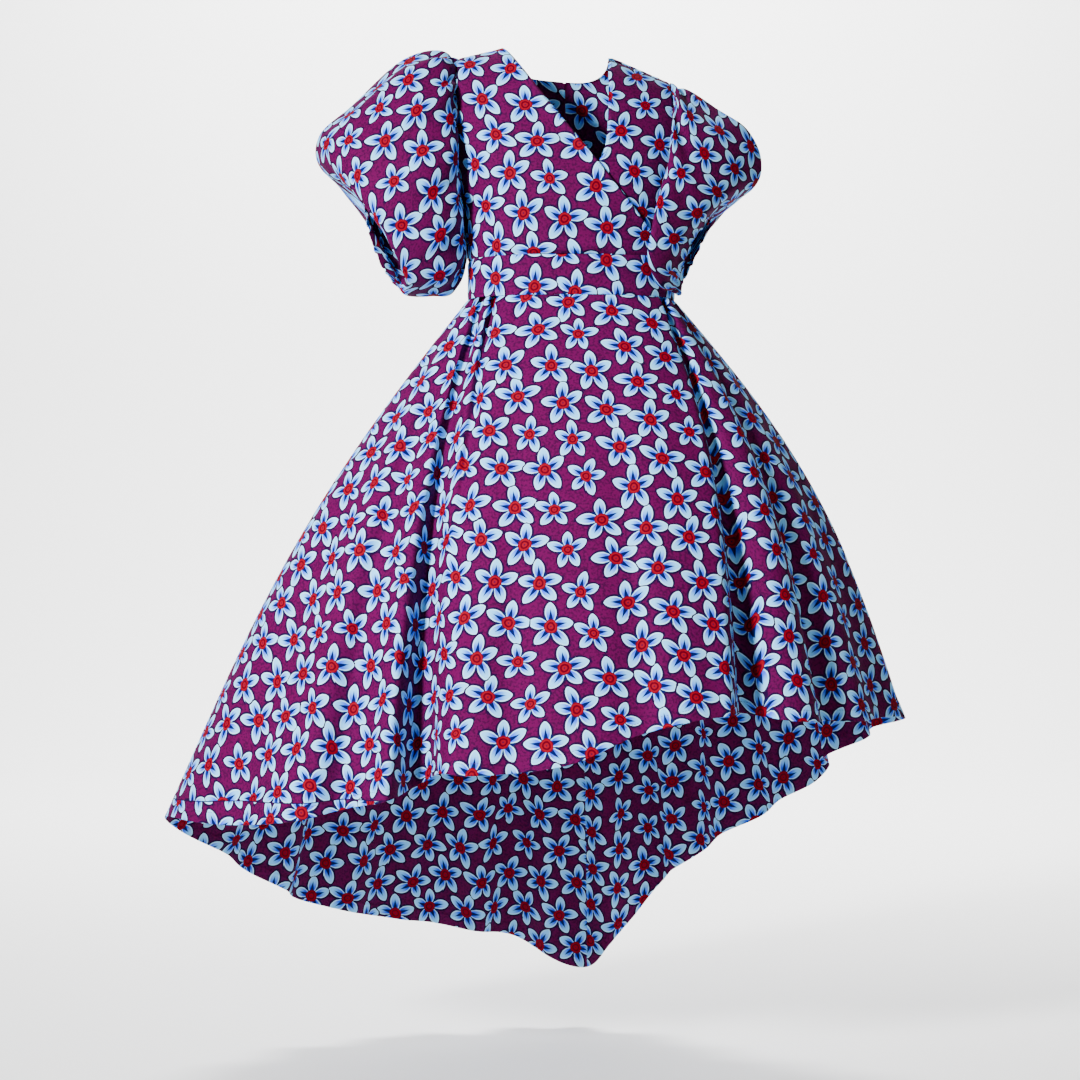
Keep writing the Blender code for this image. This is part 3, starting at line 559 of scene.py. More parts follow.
SLEEVE_LEFT = table(
    SLEEVE_RING,
    (0.00, 0.1710, -0.0400, 0.1810, 0.000, -0.2310, 0.052, 0.052, 0.000, 0.000, 0.000, 0.000),
    (0.10, 0.1960, -0.0520, 0.1880, -0.010, -0.2850, 0.088, 0.086, -0.030, 0.000, 0.010, 0.030),
    (0.25, 0.2370, -0.0780, 0.1860, -0.025, -0.3220, 0.115, 0.108, -0.064, -0.004, 0.018, 0.024),
    (0.45, 0.2800, -0.1060, 0.1840, -0.040, -0.3360, 0.122, 0.112, -0.088, -0.016, 0.024, 0.010),
    (0.62, 0.2990, -0.1460, 0.1830, -0.045, -0.3430, 0.112, 0.100, -0.082, -0.028, 0.020, 0.010),
    (0.80, 0.2890, -0.1880, 0.1820, -0.045, -0.3460, 0.092, 0.086, -0.056, -0.030, 0.010, 0.022),
    (0.92, 0.2560, -0.2140, 0.1790, -0.040, -0.3450, 0.074, 0.074, -0.030, -0.014, 0.000, 0.030),
    (1.00, 0.2280, -0.2310, 0.1760, -0.035, -0.3420, 0.062, 0.062, -0.010, 0.004, 0.000, 0.018),
)


def bell(distance, reach):
    """A bell shape: 1 at no distance, about a third at the reach and next to nothing at twice the reach."""
    return np.exp(-((distance / reach) ** 2))


def ramp(value, start, end):
    """0 before the start and 1 past the end, with a straight line between them."""
    return np.clip((value - start) / (end - start), 0, 1)


def signed_power(value, power):
    """A number's size to this power, with the number's sign."""
    return np.sign(value) * np.abs(value) ** power


def unit(vectors):
    """Vectors over their own lengths."""
    return vectors / np.linalg.norm(vectors, axis=-1, keepdims=True)


def way_along(points, axis):
    """Distance over the cloth of each point from the first line of its grid, along one axis of the grid."""
    steps = np.linalg.norm(np.diff(points, axis=axis), axis=-1)
    start = np.zeros_like(steps.take([0], axis=axis))
    return np.concatenate([start, np.cumsum(steps, axis=axis)], axis=axis)


def read_along(at, places, points):
    """Reads the points of a line at places between them."""
    return np.stack([np.interp(at, places, points[:, axis]) for axis in range(3)], axis=-1)


def smooth(at, places, values, period=None):
    """Reads a column along a curve with a continuous slope. A column with a period repeats."""
    if period is not None:
        at = places[0] + np.mod(at - places[0], period)
        before, after = places[-3:-1] - period, places[1:3] + period
        places = np.concatenate([before, places, after])
        values = np.concatenate([values[-3:-1], values, values[1:3]])
    steps = np.diff(places)
    slopes = np.gradient(values, places)
    index = np.clip(np.searchsorted(places, at, side="right") - 1, 0, len(steps) - 1)
    step = steps[index]
    part = np.clip((at - places[index]) / step, 0.0, 1.0)
    rise = values[index + 1] - values[index]
    bend_in = slopes[index] * step - rise
    bend_out = rise - slopes[index + 1] * step
    return values[index] + rise * part + part * (1 - part) * ((1 - part) * bend_in + part * bend_out)


def surface_normals(surface, first, second, limits, nudge=1e-3):
    """Unit normals of a surface of two numbers: the cross product of its slopes along both.

    The second number is nudged no further than its limits.
    """
    along_first = surface(first + nudge, second) - surface(first - nudge, second)
    low, high = np.clip(second - nudge, *limits), np.clip(second + nudge, *limits)
    return unit(np.cross(along_first, surface(first, high) - surface(first, low)))


def body_level(rise):
    """Height of a row: -1 the waist, 0 the top of the waistband, 1 the armpit, 2 the shoulder seam.

    It grows evenly up to the armpit, and by a cosine from there to the shoulder.
    """
    straight = np.interp(rise, (-1, 0, 1), (WAIST_LEVEL, BAND_TOP_LEVEL, ARMPIT_LEVEL))
    return np.where(rise > 1, ARCH_MIDDLE - ARCH_HALF * np.cos(np.pi * (rise - 1)), straight)


def body_rise(level):
    """The row that has this height."""
    straight = np.interp(level, (WAIST_LEVEL, BAND_TOP_LEVEL, ARMPIT_LEVEL), (-1, 0, 1))
    arched = 1 + np.arccos(np.clip((ARCH_MIDDLE - level) / ARCH_HALF, -1, 1)) / np.pi
    return np.where(level > ARMPIT_LEVEL, arched, straight)


def shoulder_roll(level):
    """Share of its full depth that the body has here: none at the shoulder seam, then a quarter circle."""
    below = np.clip((SHOULDER_LEVEL - level) / SHOULDER_ROLL, 0, 1)
    return np.sqrt(1 - (1 - below) ** 2)


def body_column(name, level):
    """Reads one column of the body's rings at this level."""
    return smooth(level, BODY["level"], BODY[name])


def droop_at(out, level):
    """How far a ring has fallen at this distance from its middle, by its tilt and its droop."""
    ridge = np.sqrt(out**2 + RIDGE_SOFTNESS**2) - RIDGE_SOFTNESS
    return body_column("tilt", level) * out + body_column("droop", level) * ridge


def level_at(x, z, rounds):
    """Level of the ring through a place: its height, with the ring's droop added round by round."""
    level = z
    for _ in range(rounds):
        level = z + droop_at(x - body_column("middle", level), level)
    return level


def body(turn, rise):
    """The body's surface: rounded rings of the power RING_POWER, stacked by their level.

    The turn is 0 degrees at the centre front and 90 at the wearer's left.
    """
    level = body_level(rise)
    angle = np.radians(turn)
    across = signed_power(np.sin(angle), 2 / RING_POWER)
    forward = signed_power(np.cos(angle), 2 / RING_POWER)
    depth = np.where(forward > 0, body_column("front", level), body_column("back", level))
    out = body_column("half_width", level) * across
    x = body_column("middle", level) + out
    y = -depth * shoulder_roll(level) * forward
    z = level - droop_at(out, level)
    return np.stack(np.broadcast_arrays(x, y, z), axis=-1)


def turn_at(x, level, behind=False):
    """The turn at which a ring has this x, on its front half or its back half."""
    across = (x - body_column("middle", level)) / body_column("half_width", level)
    angle = np.degrees(np.arcsin(np.clip(signed_power(across, RING_POWER / 2), -1, 1)))
    return 180 - angle if behind else angle


def armhole_turn(rise, side, behind):
    """Turn of the armhole or, below it, of the side seam. side is 1 for left and -1 for right."""
    high = np.clip(rise, 1, 2 - 1e-4)
    level = body_level(high)
    reach = body_column("back" if behind else "front", level) * shoulder_roll(level)
    forward = np.clip(ARMHOLE_DEPTH * np.sin(np.pi * (high - 1)) / reach, 0, 1)
    angle = np.degrees(np.arccos(forward ** (RING_POWER / 2)))
    if not behind:
        return side * angle
    return 180 - angle if side > 0 else 180 + angle


def skirt_cone(turn, drop):
    """The skirt without folds: a straight line from the waist (drop 0) to the hem (drop 1), bulging out."""
    top = body(turn, np.full(np.shape(turn), -1.0))
    columns = (smooth(turn, HEM["turn"], HEM[name], 360) for name in ("x", "y", "z", "bulge"))
    hem_x, hem_y, hem_z, bulge = columns
    out = drop + bulge * np.sin(np.pi * drop) * (1 + BULGE_SKEW * (1 - 2 * drop))
    x = top[..., 0] + (hem_x - top[..., 0]) * out
    y = top[..., 1] + (hem_y - top[..., 1]) * out
    z = top[..., 2] + (hem_z - top[..., 2]) * drop
    return np.stack([x, y, z], axis=-1)


def fold_depth(turn, drop):
    """How far the folds push the cloth in, as a sum of bell shapes across their lines."""
    depth = np.zeros(np.broadcast(turn, drop).shape)
    for row in zip(*FOLDS.values()):
        waist_turn, hem_turn, waist_depth, hem_depth, waist_width, hem_width, lean = row
        centre = waist_turn + (hem_turn - waist_turn) * drop
        away = np.mod(turn - centre + 180, 360) - 180
        width = (waist_width + (hem_width - waist_width) * drop) * (1 + lean * np.sign(away))
        depth += (waist_depth * (1 - drop) + hem_depth * drop**FOLD_GROWTH) * bell(away, width)
    return depth


def skirt(turn, drop):
    """The skirt: the cone, with its folds pushed in level with the ground.

    At the sides and the back a fold is pushed in square to the cloth. In front it is turned towards
    straight back, so that the pleats lie over to the sides.
    """
    turn, drop = np.broadcast_arrays(np.asarray(turn, dtype=float), np.asarray(drop, dtype=float))
    along = skirt_cone(turn + SLOPE_STEP, drop) - skirt_cone(turn - SLOPE_STEP, drop)
    out = unit(np.stack([along[..., 1], -along[..., 0], np.zeros(turn.shape)], axis=-1))
    ahead = FRONT_PUSH * (1 - np.clip(np.abs(turn) / 90, 0, 1) ** 4)[..., None]
    out = unit(out * (1 - ahead) + np.array([0.0, -1.0, 0.0]) * ahead)
    return skirt_cone(turn, drop) - out * fold_depth(turn, drop)[..., None]


def armhole_ring(side, phase):
    """Points round the armhole, set off by the seam's gap: 0 degrees at the shoulder tip, 90 in front."""
    steps = np.linspace(0, 2, ARMHOLE_SAMPLES)
    rise = 2 - np.minimum(steps, 2 - steps)
    turn = np.where(steps > 1, armhole_turn(rise, side, True), armhole_turn(rise, side, False))
    round_angle = steps * 180
    butted = ramp(np.minimum(round_angle, 360 - round_angle), *BUTT_ENDS[::-1])
    normals = surface_normals(body, turn, rise, BODY_LIMITS)
    points = body(turn, rise) - normals * (butted * WALL / 2)[:, None]
    points[:, 0] += side * (HEAD_GAP * butted + UNDERARM_GAP * (1 - butted))
    return read_along(np.mod(phase, 360), round_angle, points)


def sleeve_rings(rings, phase, along):
    """The sleeve's own rings: ovals from a top to a low point, bulging front and back, with gathers."""
    column = {name: smooth(along, rings["along"], rings[name]) for name in rings}
    angle = np.radians(phase)
    up, forward = np.cos(angle), np.sin(angle)
    bulge = np.where(forward > 0, column["front"], column["back"])
    ahead, behind = np.clip(forward, 0, None), np.clip(-forward, 0, None)
    lean = column["front_lean"] * ahead + column["back_lean"] * behind
    gather = 1 + column["gather"] * np.cos(SLEEVE_GATHERS * angle)
    x_middle, x_half = (column["top_x"] + column["low_x"]) / 2, (column["top_x"] - column["low_x"]) / 2
    z_middle, z_half = (column["top_z"] + column["low_z"]) / 2, (column["top_z"] - column["low_z"]) / 2
    x = x_middle + gather * (x_half * up + lean)
    y = column["low_y"] * (1 - up) / 2 - gather * bulge * forward
    z = z_middle + gather * (z_half * up - column["front_sink"] * ahead)
    return np.stack(np.broadcast_arrays(x, y, z), axis=-1)


def clear_of_body(points, clearance):
    """Moves points that come closer to the body than the clearance straight out from its middle.

    A point's share of the way out is read with the power of the body's rings. Under the deepest share a
    point is pushed as one at that share.
    """
    level = level_at(points[..., 0], points[..., 2], CLEAR_ROUNDS)
    out = points[..., 0] - body_column("middle", level)
    depth = np.where(points[..., 1] < 0, body_column("front", level), body_column("back", level))
    across = np.abs(out) / (body_column("half_width", level) + clearance)
    forward = np.abs(points[..., 1]) / (depth * shoulder_roll(level) + clearance)
    share = (across**RING_POWER + forward**RING_POWER) ** (1 / RING_POWER)
    push = np.where(level < SHOULDER_LEVEL, 1 / np.clip(share, DEEPEST_SHARE, 1), 1)
    moved = points.copy()
    moved[..., 0] += out * (push - 1)
    moved[..., 1] *= push
    return moved


def sleeve(rings, side, phase, along):
    """A puff sleeve from the armhole (along 0) to the cuff (along 1), lying clear of the body."""
    phase, along = np.broadcast_arrays(np.asarray(phase, dtype=float), np.asarray(along, dtype=float))
    points = sleeve_rings(rings, phase, along)
    blend_in = np.clip(1 - along / HEAD_BLEND, 0, 1)[..., None] ** 3
    start = sleeve_rings(rings, phase, np.zeros(along.shape))
    points = points + blend_in * (armhole_ring(side, phase) - start)
    cleared = clear_of_body(points, ramp(along, 0, CLEARANCE_RUN) * SLEEVE_CLEARANCE)
    from_tip = np.abs(np.mod(phase + 180, 360) - 180)
    part = (ramp(along, 0, CLEARANCE_START) * ramp(from_tip, *CLEARED_PHASES))[..., None]
    return points * (1 - part) + cleared * part


def shares(length, start, end, count):
    """Lines across a piece as shares of its length: close ones at the given distances from both ends."""
    first = np.array(start)
    last = length - np.array(end)[::-1]
    middle = np.linspace(first[-1], last[0], count + 2)[1:-1]
    return np.concatenate([first, middle, last]) / length


def even_line(turn, rise, parts):
    """Places at these shares of the 3-D length of a line on the body."""
    way = way_along(body(turn, rise), 0)
    return np.interp(parts, way / way[-1], turn), np.interp(parts, way / way[-1], rise)


def edge_line(edge):
    """A neckline edge, drawn as seen from the front, as turns and rises on the body."""
    fine = np.linspace(0, len(edge["x"]) - 1, LINE_SAMPLES)
    places = np.arange(len(edge["x"]), dtype=float)
    x, z = smooth(fine, places, edge["x"]), smooth(fine, places, edge["z"])
    level = level_at(x, z, EDGE_ROUNDS)
    return turn_at(x, level), body_rise(np.clip(level, BAND_TOP_LEVEL, SHOULDER_LEVEL))


def side_line(side, behind):
    """Side seam and armhole of a bodice piece, up to the shoulder tip."""
    rise = np.linspace(0, 2, LINE_SAMPLES)
    return armhole_turn(rise, side, behind), rise


def back_centre_line(side):
    """Centre back seam and back neckline, up to the neck point. The neckline is a quarter of an oval."""
    below = np.linspace(0, body_rise(np.array(BACK_NECK_LEVEL)), LINE_SAMPLES)
    bend = np.linspace(0, np.pi / 2, LINE_SAMPLES)[1:]
    level = SHOULDER_LEVEL + (BACK_NECK_LEVEL - SHOULDER_LEVEL) * np.cos(bend)
    middle = body_column("middle", level)
    neck_x = NECK_LEFT_X if side > 0 else NECK_RIGHT_X
    turn = turn_at(middle + (neck_x - middle) * np.sin(bend), level, behind=True)
    return np.concatenate([np.full(len(below), 180.0), turn]), np.concatenate([below, body_rise(level)])


def ruled(first_line, last_line, rows, columns):
    """Grid of turns and rises, with each row running straight from one line to the other."""
    first, last = even_line(*first_line, rows), even_line(*last_line, rows)
    turn = first[0][:, None] * (1 - columns) + last[0][:, None] * columns
    rise = first[1][:, None] * (1 - columns) + last[1][:, None] * columns
    return turn, rise


def from_edges(points):
    """Distances over the cloth of each point from the first and last column and the first and last row."""
    across, up = way_along(points, 1), way_along(points, 0)
    return across, across[:, -1:] - across, up, up[-1:] - up


def creases(flat, rows):
    """How far the creases move the cloth in: each is a soft trough round a bowed line on the flat cloth.

    The trough is a bell of the distance from the line, and its depth runs evenly from the line's start to
    its end. A negative depth is a ridge.
    """
    moved = np.zeros(flat.shape[:2])
    for start_x, start_y, end_x, end_y, bow, start_depth, end_depth, width in rows:
        run_x, run_y = end_x - start_x, end_y - start_y
        length = np.hypot(run_x, run_y)
        away_x, away_y = flat[..., 0] - start_x, flat[..., 1] - start_y
        part = np.clip((away_x * run_x + away_y * run_y) / length**2, 0, 1)
        bend = 4 * bow * part * (1 - part) / length
        off_x = away_x - part * run_x - bend * run_y
        off_y = away_y - part * run_y + bend * run_x
        moved += (start_depth + (end_depth - start_depth) * part) * bell(np.hypot(off_x, off_y), width)
    return moved


def puckers(along, *distances):
    """Uneven ripples along a seam: sines whose lengths share no measure, fading off from each edge."""
    turns = 2 * np.pi * along / PUCKER_PITCH
    ripple = sum(share * np.sin(count * turns + start) for count, share, start in PUCKER_WAVES)
    return PUCKER_HEIGHT * ripple * sum(bell(distance, PUCKER_REACH) for distance in distances)


def gathers(phase, distance, size):
    """Gathers from a seam round a sleeve: whole waves round the ring, fading off from the seam."""
    angle = np.radians(phase)
    ripple = sum(share * np.cos(count * angle + start) for count, share, start in GATHER_WAVES)
    height, reach = size
    return height * ripple * bell(distance, reach)


def seam_dip(*distances):
    """A groove where a piece is sewn: a bell of the distance from each sewn edge."""
    return -SEAM_DEPTH * sum(bell(distance, SEAM_WIDTH) for distance in distances)


def stitch_groove(distance, stitch):
    """A shallow groove along a row of stitches, at its distance from the edge."""
    return -GROOVE_DEPTH * bell(distance - stitch, GROOVE_WIDTH)


def edge_roll(distance):
    """How far a turned neck edge rolls in: a bell of the distance from it."""
    return EDGE_ROLL * bell(distance, EDGE_ROLL_REACH)


def edge_lift(distance, rows):
    """How far the edge of the front on top stands off: a bell of the distance, fading to both ends."""
    return EDGE_LIFT * np.sqrt(np.sin(np.pi * rows))[:, None] * bell(distance, EDGE_LIFT_REACH)


def hem_thickness(distance):
    """The cloth's thickness, doubled within the hem's depth by a soft step."""
    return CLOTH_THICKNESS * (1.5 - 0.5 * np.tanh((distance - HEM_DEPTH) / HEM_STEP))


def put_in_scene(name, data):
    """Puts a mesh, lamp or camera in the scene, as an object at the origin."""
    thing = bpy.data.objects.new(name, data)
    bpy.context.scene.collection.objects.link(thing)
    return thing


def smooth_mesh(name, points, faces, material):
    """A mesh that is shaded smooth, with one material."""
    mesh = bpy.data.meshes.new(name)
    mesh.from_pydata(points.reshape(-1, 3).tolist(), [], faces)
    mesh.materials.append(material)
    mesh.shade_smooth()
    return mesh


def shell_faces(rows, columns, closed):
    """Faces of a closed shell: its outer grid, its inner grid and the strips that join their edges."""
    index = np.arange(rows * columns).reshape(rows, columns)
    around = np.concatenate([index, index[:, :1]], axis=1) if closed else index
    corners = (around[:-1, :-1], around[:-1, 1:], around[1:, 1:], around[1:, :-1])
    outer = np.stack([corner.ravel() for corner in corners], axis=1)
    inner = outer[:, ::-1] + rows * columns
    borders = [around[0], around[-1][::-1]]
    if not closed:
        borders += [index[:, -1], index[::-1, 0]]
    strips = []
    for line in borders:
        below = line + rows * columns
        strips.append(np.stack([line[:-1], below[:-1], below[1:], line[1:]], axis=1))
    return np.concatenate([outer, inner, *strips])


def cloth_shell(name, outer, inner, flat, closed=False):
    """Makes a piece as a closed shell between two grids of points, with its flat place as its UV map.

    flat has one column more than the points on a tube, for the edge where the cloth meets itself.
    """
    rows, columns = outer.shape[:2]
    points = np.concatenate([outer.reshape(-1, 3), inner.reshape(-1, 3)])
    faces = shell_faces(rows, columns, closed)
    corners = points[faces]
    volume = np.einsum("ij,ij->i", corners[:, 0], np.cross(corners[:, 1], corners[:, 2])).sum()
    place = np.concatenate([flat[:, :columns].reshape(-1, 2)] * 2)[faces]
    if closed:
        column = faces % columns
        wraps = (column.max(axis=1) == columns - 1) & (column.min(axis=1) == 0)
        edge = np.concatenate([flat[:, columns]] * 2)[faces // columns]
        place = np.where((wraps[:, None] & (column == 0))[..., None], edge, place)
    if volume < 0:
        faces, place = faces[:, ::-1], place[:, ::-1]
    mesh = smooth_mesh(name, points, faces.tolist(), materials["print"])
    layer = mesh.uv_layers.new(name=CLOTH_MAP)
    layer.data.foreach_set("uv", place.reshape(-1).astype(np.float32))
    piece = put_in_scene(name, mesh)
    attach(piece, "root")
    return piece


def cell_areas(flat):
    """Areas of the grid's cells on the flat cloth, by half the cross product of their diagonals."""
    one, other = flat[1:, 1:] - flat[:-1, :-1], flat[1:, :-1] - flat[:-1, 1:]
    return np.abs(one[..., 0] * other[..., 1] - one[..., 1] * other[..., 0]) / 2


def declare(flat):
    """Adds up the areas of the piece's cells on the flat cloth, the size that it was cut to; the sum is not
    kept.
    """
    cell_areas(flat).sum()


def placed(flat, name):
    """Turns and moves a piece on the printed cloth before it is cut."""
    x, y, tilt = LAID_AT[name]
    sine, cosine = np.sin(np.radians(tilt)), np.cos(np.radians(tilt))
    across, up = flat[..., 0], flat[..., 1]
    return np.stack([x + across * cosine - up * sine, y + across * sine + up * cosine], axis=-1)


def conical_flat(points, sector):
    """Where a flaring piece lies on the flat cloth: distance down its columns as the radius of a sector.

    A step across is set square to the columns, and is turned into an angle by the radius there. The top
    edge takes up the sector's angle, and the middle column points straight down.
    """
    down = way_along(points, 0)
    step = np.linalg.norm(np.diff(points, axis=1), axis=-1)
    square = np.sqrt(np.clip(step**2 - np.diff(down, axis=1) ** 2, 0, None))
    start = square[0].sum() / np.radians(sector)
    radius = start + down
    angle = np.cumsum(square / (radius[:, 1:] + radius[:, :-1]) * 2, axis=1)
    angle = np.concatenate([np.zeros((len(angle), 1)), angle], axis=1)
    angle -= angle[:, [angle.shape[1] // 2]]
    return np.stack([radius * np.sin(angle), start - radius * np.cos(angle)], axis=-1)


def body_flat(turn, rise):
    """Where a place of the body lies on the flat cloth: its way round the ring and up from the waist.

    Both are read between the four nearest places of a net over the whole body.
    """
    rises = np.linspace(*BODY_LIMITS, FLAT_SAMPLES)
    turns = np.linspace(*FLAT_TURNS, FLAT_SAMPLES)
    net = body(*np.meshgrid(turns, rises))
    round_way, up_way = way_along(net, 1), way_along(net, 0)
    column = (turn - turns[0]) / (turns[1] - turns[0])
    row = (rise - rises[0]) / (rises[1] - rises[0])
    left, low = column.astype(int), np.minimum(row.astype(int), FLAT_SAMPLES - 2)
    u, v = column - left, row - low

    def read(net_values):
        bottom = net_values[low, left] * (1 - u) + net_values[low, left + 1] * u
        top = net_values[low + 1, left] * (1 - u) + net_values[low + 1, left + 1] * u
        return bottom * (1 - v) + top * v

    round_way = round_way - round_way[:, [int(np.argmin(np.abs(turns)))]]
    return np.stack([read(round_way), read(up_way)], axis=-1)


def sleeve_flat(points):
    """Where a sleeve's tube lies on the flat cloth: half gathered to its widest ring, the front mid-way."""
    closed = np.concatenate([points, points[:, :1]], axis=1)
    way = way_along(closed, 1)
    girth = way[:, -1:]
    way = way / girth
    across = (way - way[:, [way.shape[1] // 2]]) * np.sqrt(girth * girth.max())
    return np.stack([across, -way_along(closed, 0)], axis=-1)


def body_shell(name, grid, relief, under=0.0):
    """A piece of the bodice or waistband: its grid on the body, moved out by its relief."""
    turn, rise = grid
    flat = body_flat(turn, rise)
    normals = surface_normals(body, turn, rise, BODY_LIMITS)
    outer = body(turn, rise) + normals * (relief - creases(flat, CREASES[name]) - under)[..., None]
    piece = cloth_shell(name, outer, outer - normals * CLOTH_THICKNESS, placed(flat, name))
    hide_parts(name)
    declare(flat)
    return outer, normals


def make_bodice():
    """Two crossing fronts, the wearer's right one on top, and two backs that meet in a centre seam."""
    rows = shares(BODICE_LENGTH, SEAM_LINES, SEAM_LINES, BODICE_ROWS)
    columns = shares(FRONT_WIDTH, CROSSED_LINES, EDGE_LINES, FRONT_COLUMNS)
    edge_turn, edge_rise = edge_line(OVER_EDGE)
    edge_turn[0] = 90
    over_edge = np.concatenate([[90.0], edge_turn]), np.concatenate([[0.0], edge_rise])
    lines = {
        "bodice_front_over": (side_line(-1, False), over_edge),
        "bodice_front_under": (edge_line(UNDER_EDGE), side_line(1, False)),
        "bodice_back_left": (side_line(1, True), back_centre_line(1)),
        "bodice_back_right": (back_centre_line(-1), side_line(-1, True)),
    }
    for name, (first, last) in lines.items():
        below = name == "bodice_front_under"
        grid = ruled(first, last, rows, 1 - columns[::-1] if below else columns)
        from_first, from_last, from_low, from_high = from_edges(body(*grid))
        relief = seam_dip(from_low, from_high) + puckers(from_first, from_low, from_high)
        if "front" not in name:
            body_shell(name, grid, relief + seam_dip(from_first, from_last))
            continue
        sewn, turned = (from_last, from_first) if below else (from_first, from_last)
        relief += seam_dip(sewn) + stitch_groove(turned, NECK_STITCH) - edge_roll(turned)
        if not below:
            relief += edge_lift(turned, rows)
        outer, normals = body_shell(name, grid, relief, FRONT_LAP if below else 0.0)
        column = np.argmin(np.abs(turned.mean(axis=0) - NECK_STITCH))
        stitch_row(name.replace("bodice_front", "neck_stitches"), outer[:, column], normals[:, column])


def make_waistband():
    """A straight band in three pieces, joined at the sides and at the centre back."""
    rows = shares(BAND_HEIGHT, SEAM_LINES, SEAM_LINES, BAND_ROWS)
    for panel, start, end, _ in PANELS:
        columns = shares(BAND_WIDTH * (end - start) / 180, CROSSED_LINES, CROSSED_LINES, BAND_COLUMNS)
        turn, rise = np.meshgrid(start + (end - start) * columns, rows - 1)
        from_first, from_last, from_waist, from_high = from_edges(body(turn, rise))
        relief = seam_dip(from_first, from_last, from_high) + seam_dip(from_waist) * WAIST_SEAM_SHARE
        relief += puckers(from_first, from_waist, from_high)
        body_shell("waistband_" + panel, (turn, rise), relief)


def skirt_drops(turns):
    """Shares of the way down each column of the skirt: close rows at both ends, even ones between."""
    top, low = skirt_cone(turns, np.zeros(turns.shape)), skirt_cone(turns, np.ones(turns.shape))
    length = np.linalg.norm(low - top, axis=-1)[None]
    near_waist = np.array(SEAM_LINES)[:, None] / length
    near_hem = 1 - np.array(HEM_LINES[::-1])[:, None] / length
    between = np.linspace(0, 1, SKIRT_ROWS + 2)[1:-1, None]
    between = near_waist[-1:] * (1 - between) + near_hem[:1] * between
    return np.concatenate([near_waist, between, near_hem])


def mark_facing(piece, outer):
    """Stores how far each point lies below the facing's line, counted from 1 on the line."""
    level, slope = FACING_LINE
    below = 1 + level + slope * outer[..., 0] - outer[..., 2]
    marks = piece.data.attributes.new(FACING, "FLOAT", "POINT")
    marks.data.foreach_set("value", np.concatenate([below.ravel()] * 2).astype(np.float32))


def make_skirt():
    """A front and two backs, cut from the pleated cone and joined at the sides and the centre back."""
    for panel, start, end, sector in PANELS:
        name = "skirt_" + panel
        count = SKIRT_COLUMNS * (end - start) // 180
        width = HEM_WIDTH * (end - start) / 180
        turns = start + (end - start) * shares(width, CROSSED_LINES, CROSSED_LINES, count)
        drop = skirt_drops(turns)
        turn = np.broadcast_to(turns, drop.shape)
        points = skirt(turn, drop)
        normals = -surface_normals(skirt, turn, drop, WHOLE_LENGTH)
        from_first, from_last, from_top, from_hem = from_edges(points)
        flat = conical_flat(points, sector)
        relief = seam_dip(from_first, from_last) + seam_dip(from_top) * WAIST_SEAM_SHARE
        relief += stitch_groove(from_hem, HEM_STITCH) + puckers(from_first, from_top, from_hem)
        relief -= creases(flat, CREASES[name])
        outer = points + normals * relief[..., None]
        inner = outer - normals * hem_thickness(from_hem)[..., None]
        piece = cloth_shell(name, outer, inner, placed(flat, name))
        if panel == "front":
            mark_facing(piece, outer)
        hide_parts(name)
        declare(flat)
        row = np.argmin(np.abs(from_hem.mean(axis=1) - HEM_STITCH))
        stitch_row("hem_stitches_" + panel, outer[row], normals[row])


def make_sleeves():
    """Two puff sleeves, each one tube, gathered into the armhole and into the cuff."""
    for name, rings, side in (("sleeve_right", SLEEVE_RIGHT, -1), ("sleeve_left", SLEEVE_LEFT, 1)):
        phase = np.arange(SLEEVE_COLUMNS) * (360 / SLEEVE_COLUMNS) - 90
        phases, alongs = np.meshgrid(phase, shares(SLEEVE_LENGTH, SEAM_LINES, HEM_LINES, SLEEVE_ROWS))

        def surface(at_phase, at_along):
            return sleeve(rings, side, at_phase, at_along)

        points = surface(phases, alongs)
        normals = surface_normals(surface, phases, alongs, WHOLE_LENGTH, nudge=2e-3) * side
        normals[0, :, 0] = 0
        normals[0] = unit(normals[0])
        _, _, from_head, from_cuff = from_edges(points)
        flat = sleeve_flat(points)
        relief = seam_dip(from_head) / 2 + stitch_groove(from_cuff, HEM_STITCH)
        relief += gathers(phases, from_head, HEAD_GATHER) + gathers(phases, from_cuff, CUFF_GATHER)
        relief -= creases(flat[:, :-1], CREASES[name])
        outer = points + normals * (relief + WALL / 2)[..., None]
        inner = outer - normals * hem_thickness(from_cuff)[..., None]
        piece = cloth_shell(name, outer, inner, placed(flat, name), closed=True)
        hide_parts(name)
        declare(flat)
        row = np.argmin(np.abs(from_cuff.mean(axis=1) - HEM_STITCH))
        line = np.concatenate([outer[row], outer[row, :1]])
        normal = np.concatenate([normals[row], normals[row, :1]])
        stitch_row(name.replace("sleeve", "cuff_stitches"), line, normal)


def rod_faces(rings, sides, count):
    """Faces of closed rods, one after the other: the walls between their rings, and both ends."""
    index = np.arange(rings * sides).reshape(rings, sides)
    onward = np.roll(index, -1, axis=1)
    walls = np.stack([index[:-1], onward[:-1], onward[1:], index[1:]], axis=-1).reshape(-1, 4)
    shift = (np.arange(count) * rings * sides)[:, None, None]
    faces = (walls + shift).reshape(-1, 4).tolist()
    for end in (index[0][::-1], index[-1]):
        faces += (end + shift).reshape(-1, sides).tolist()
    return faces


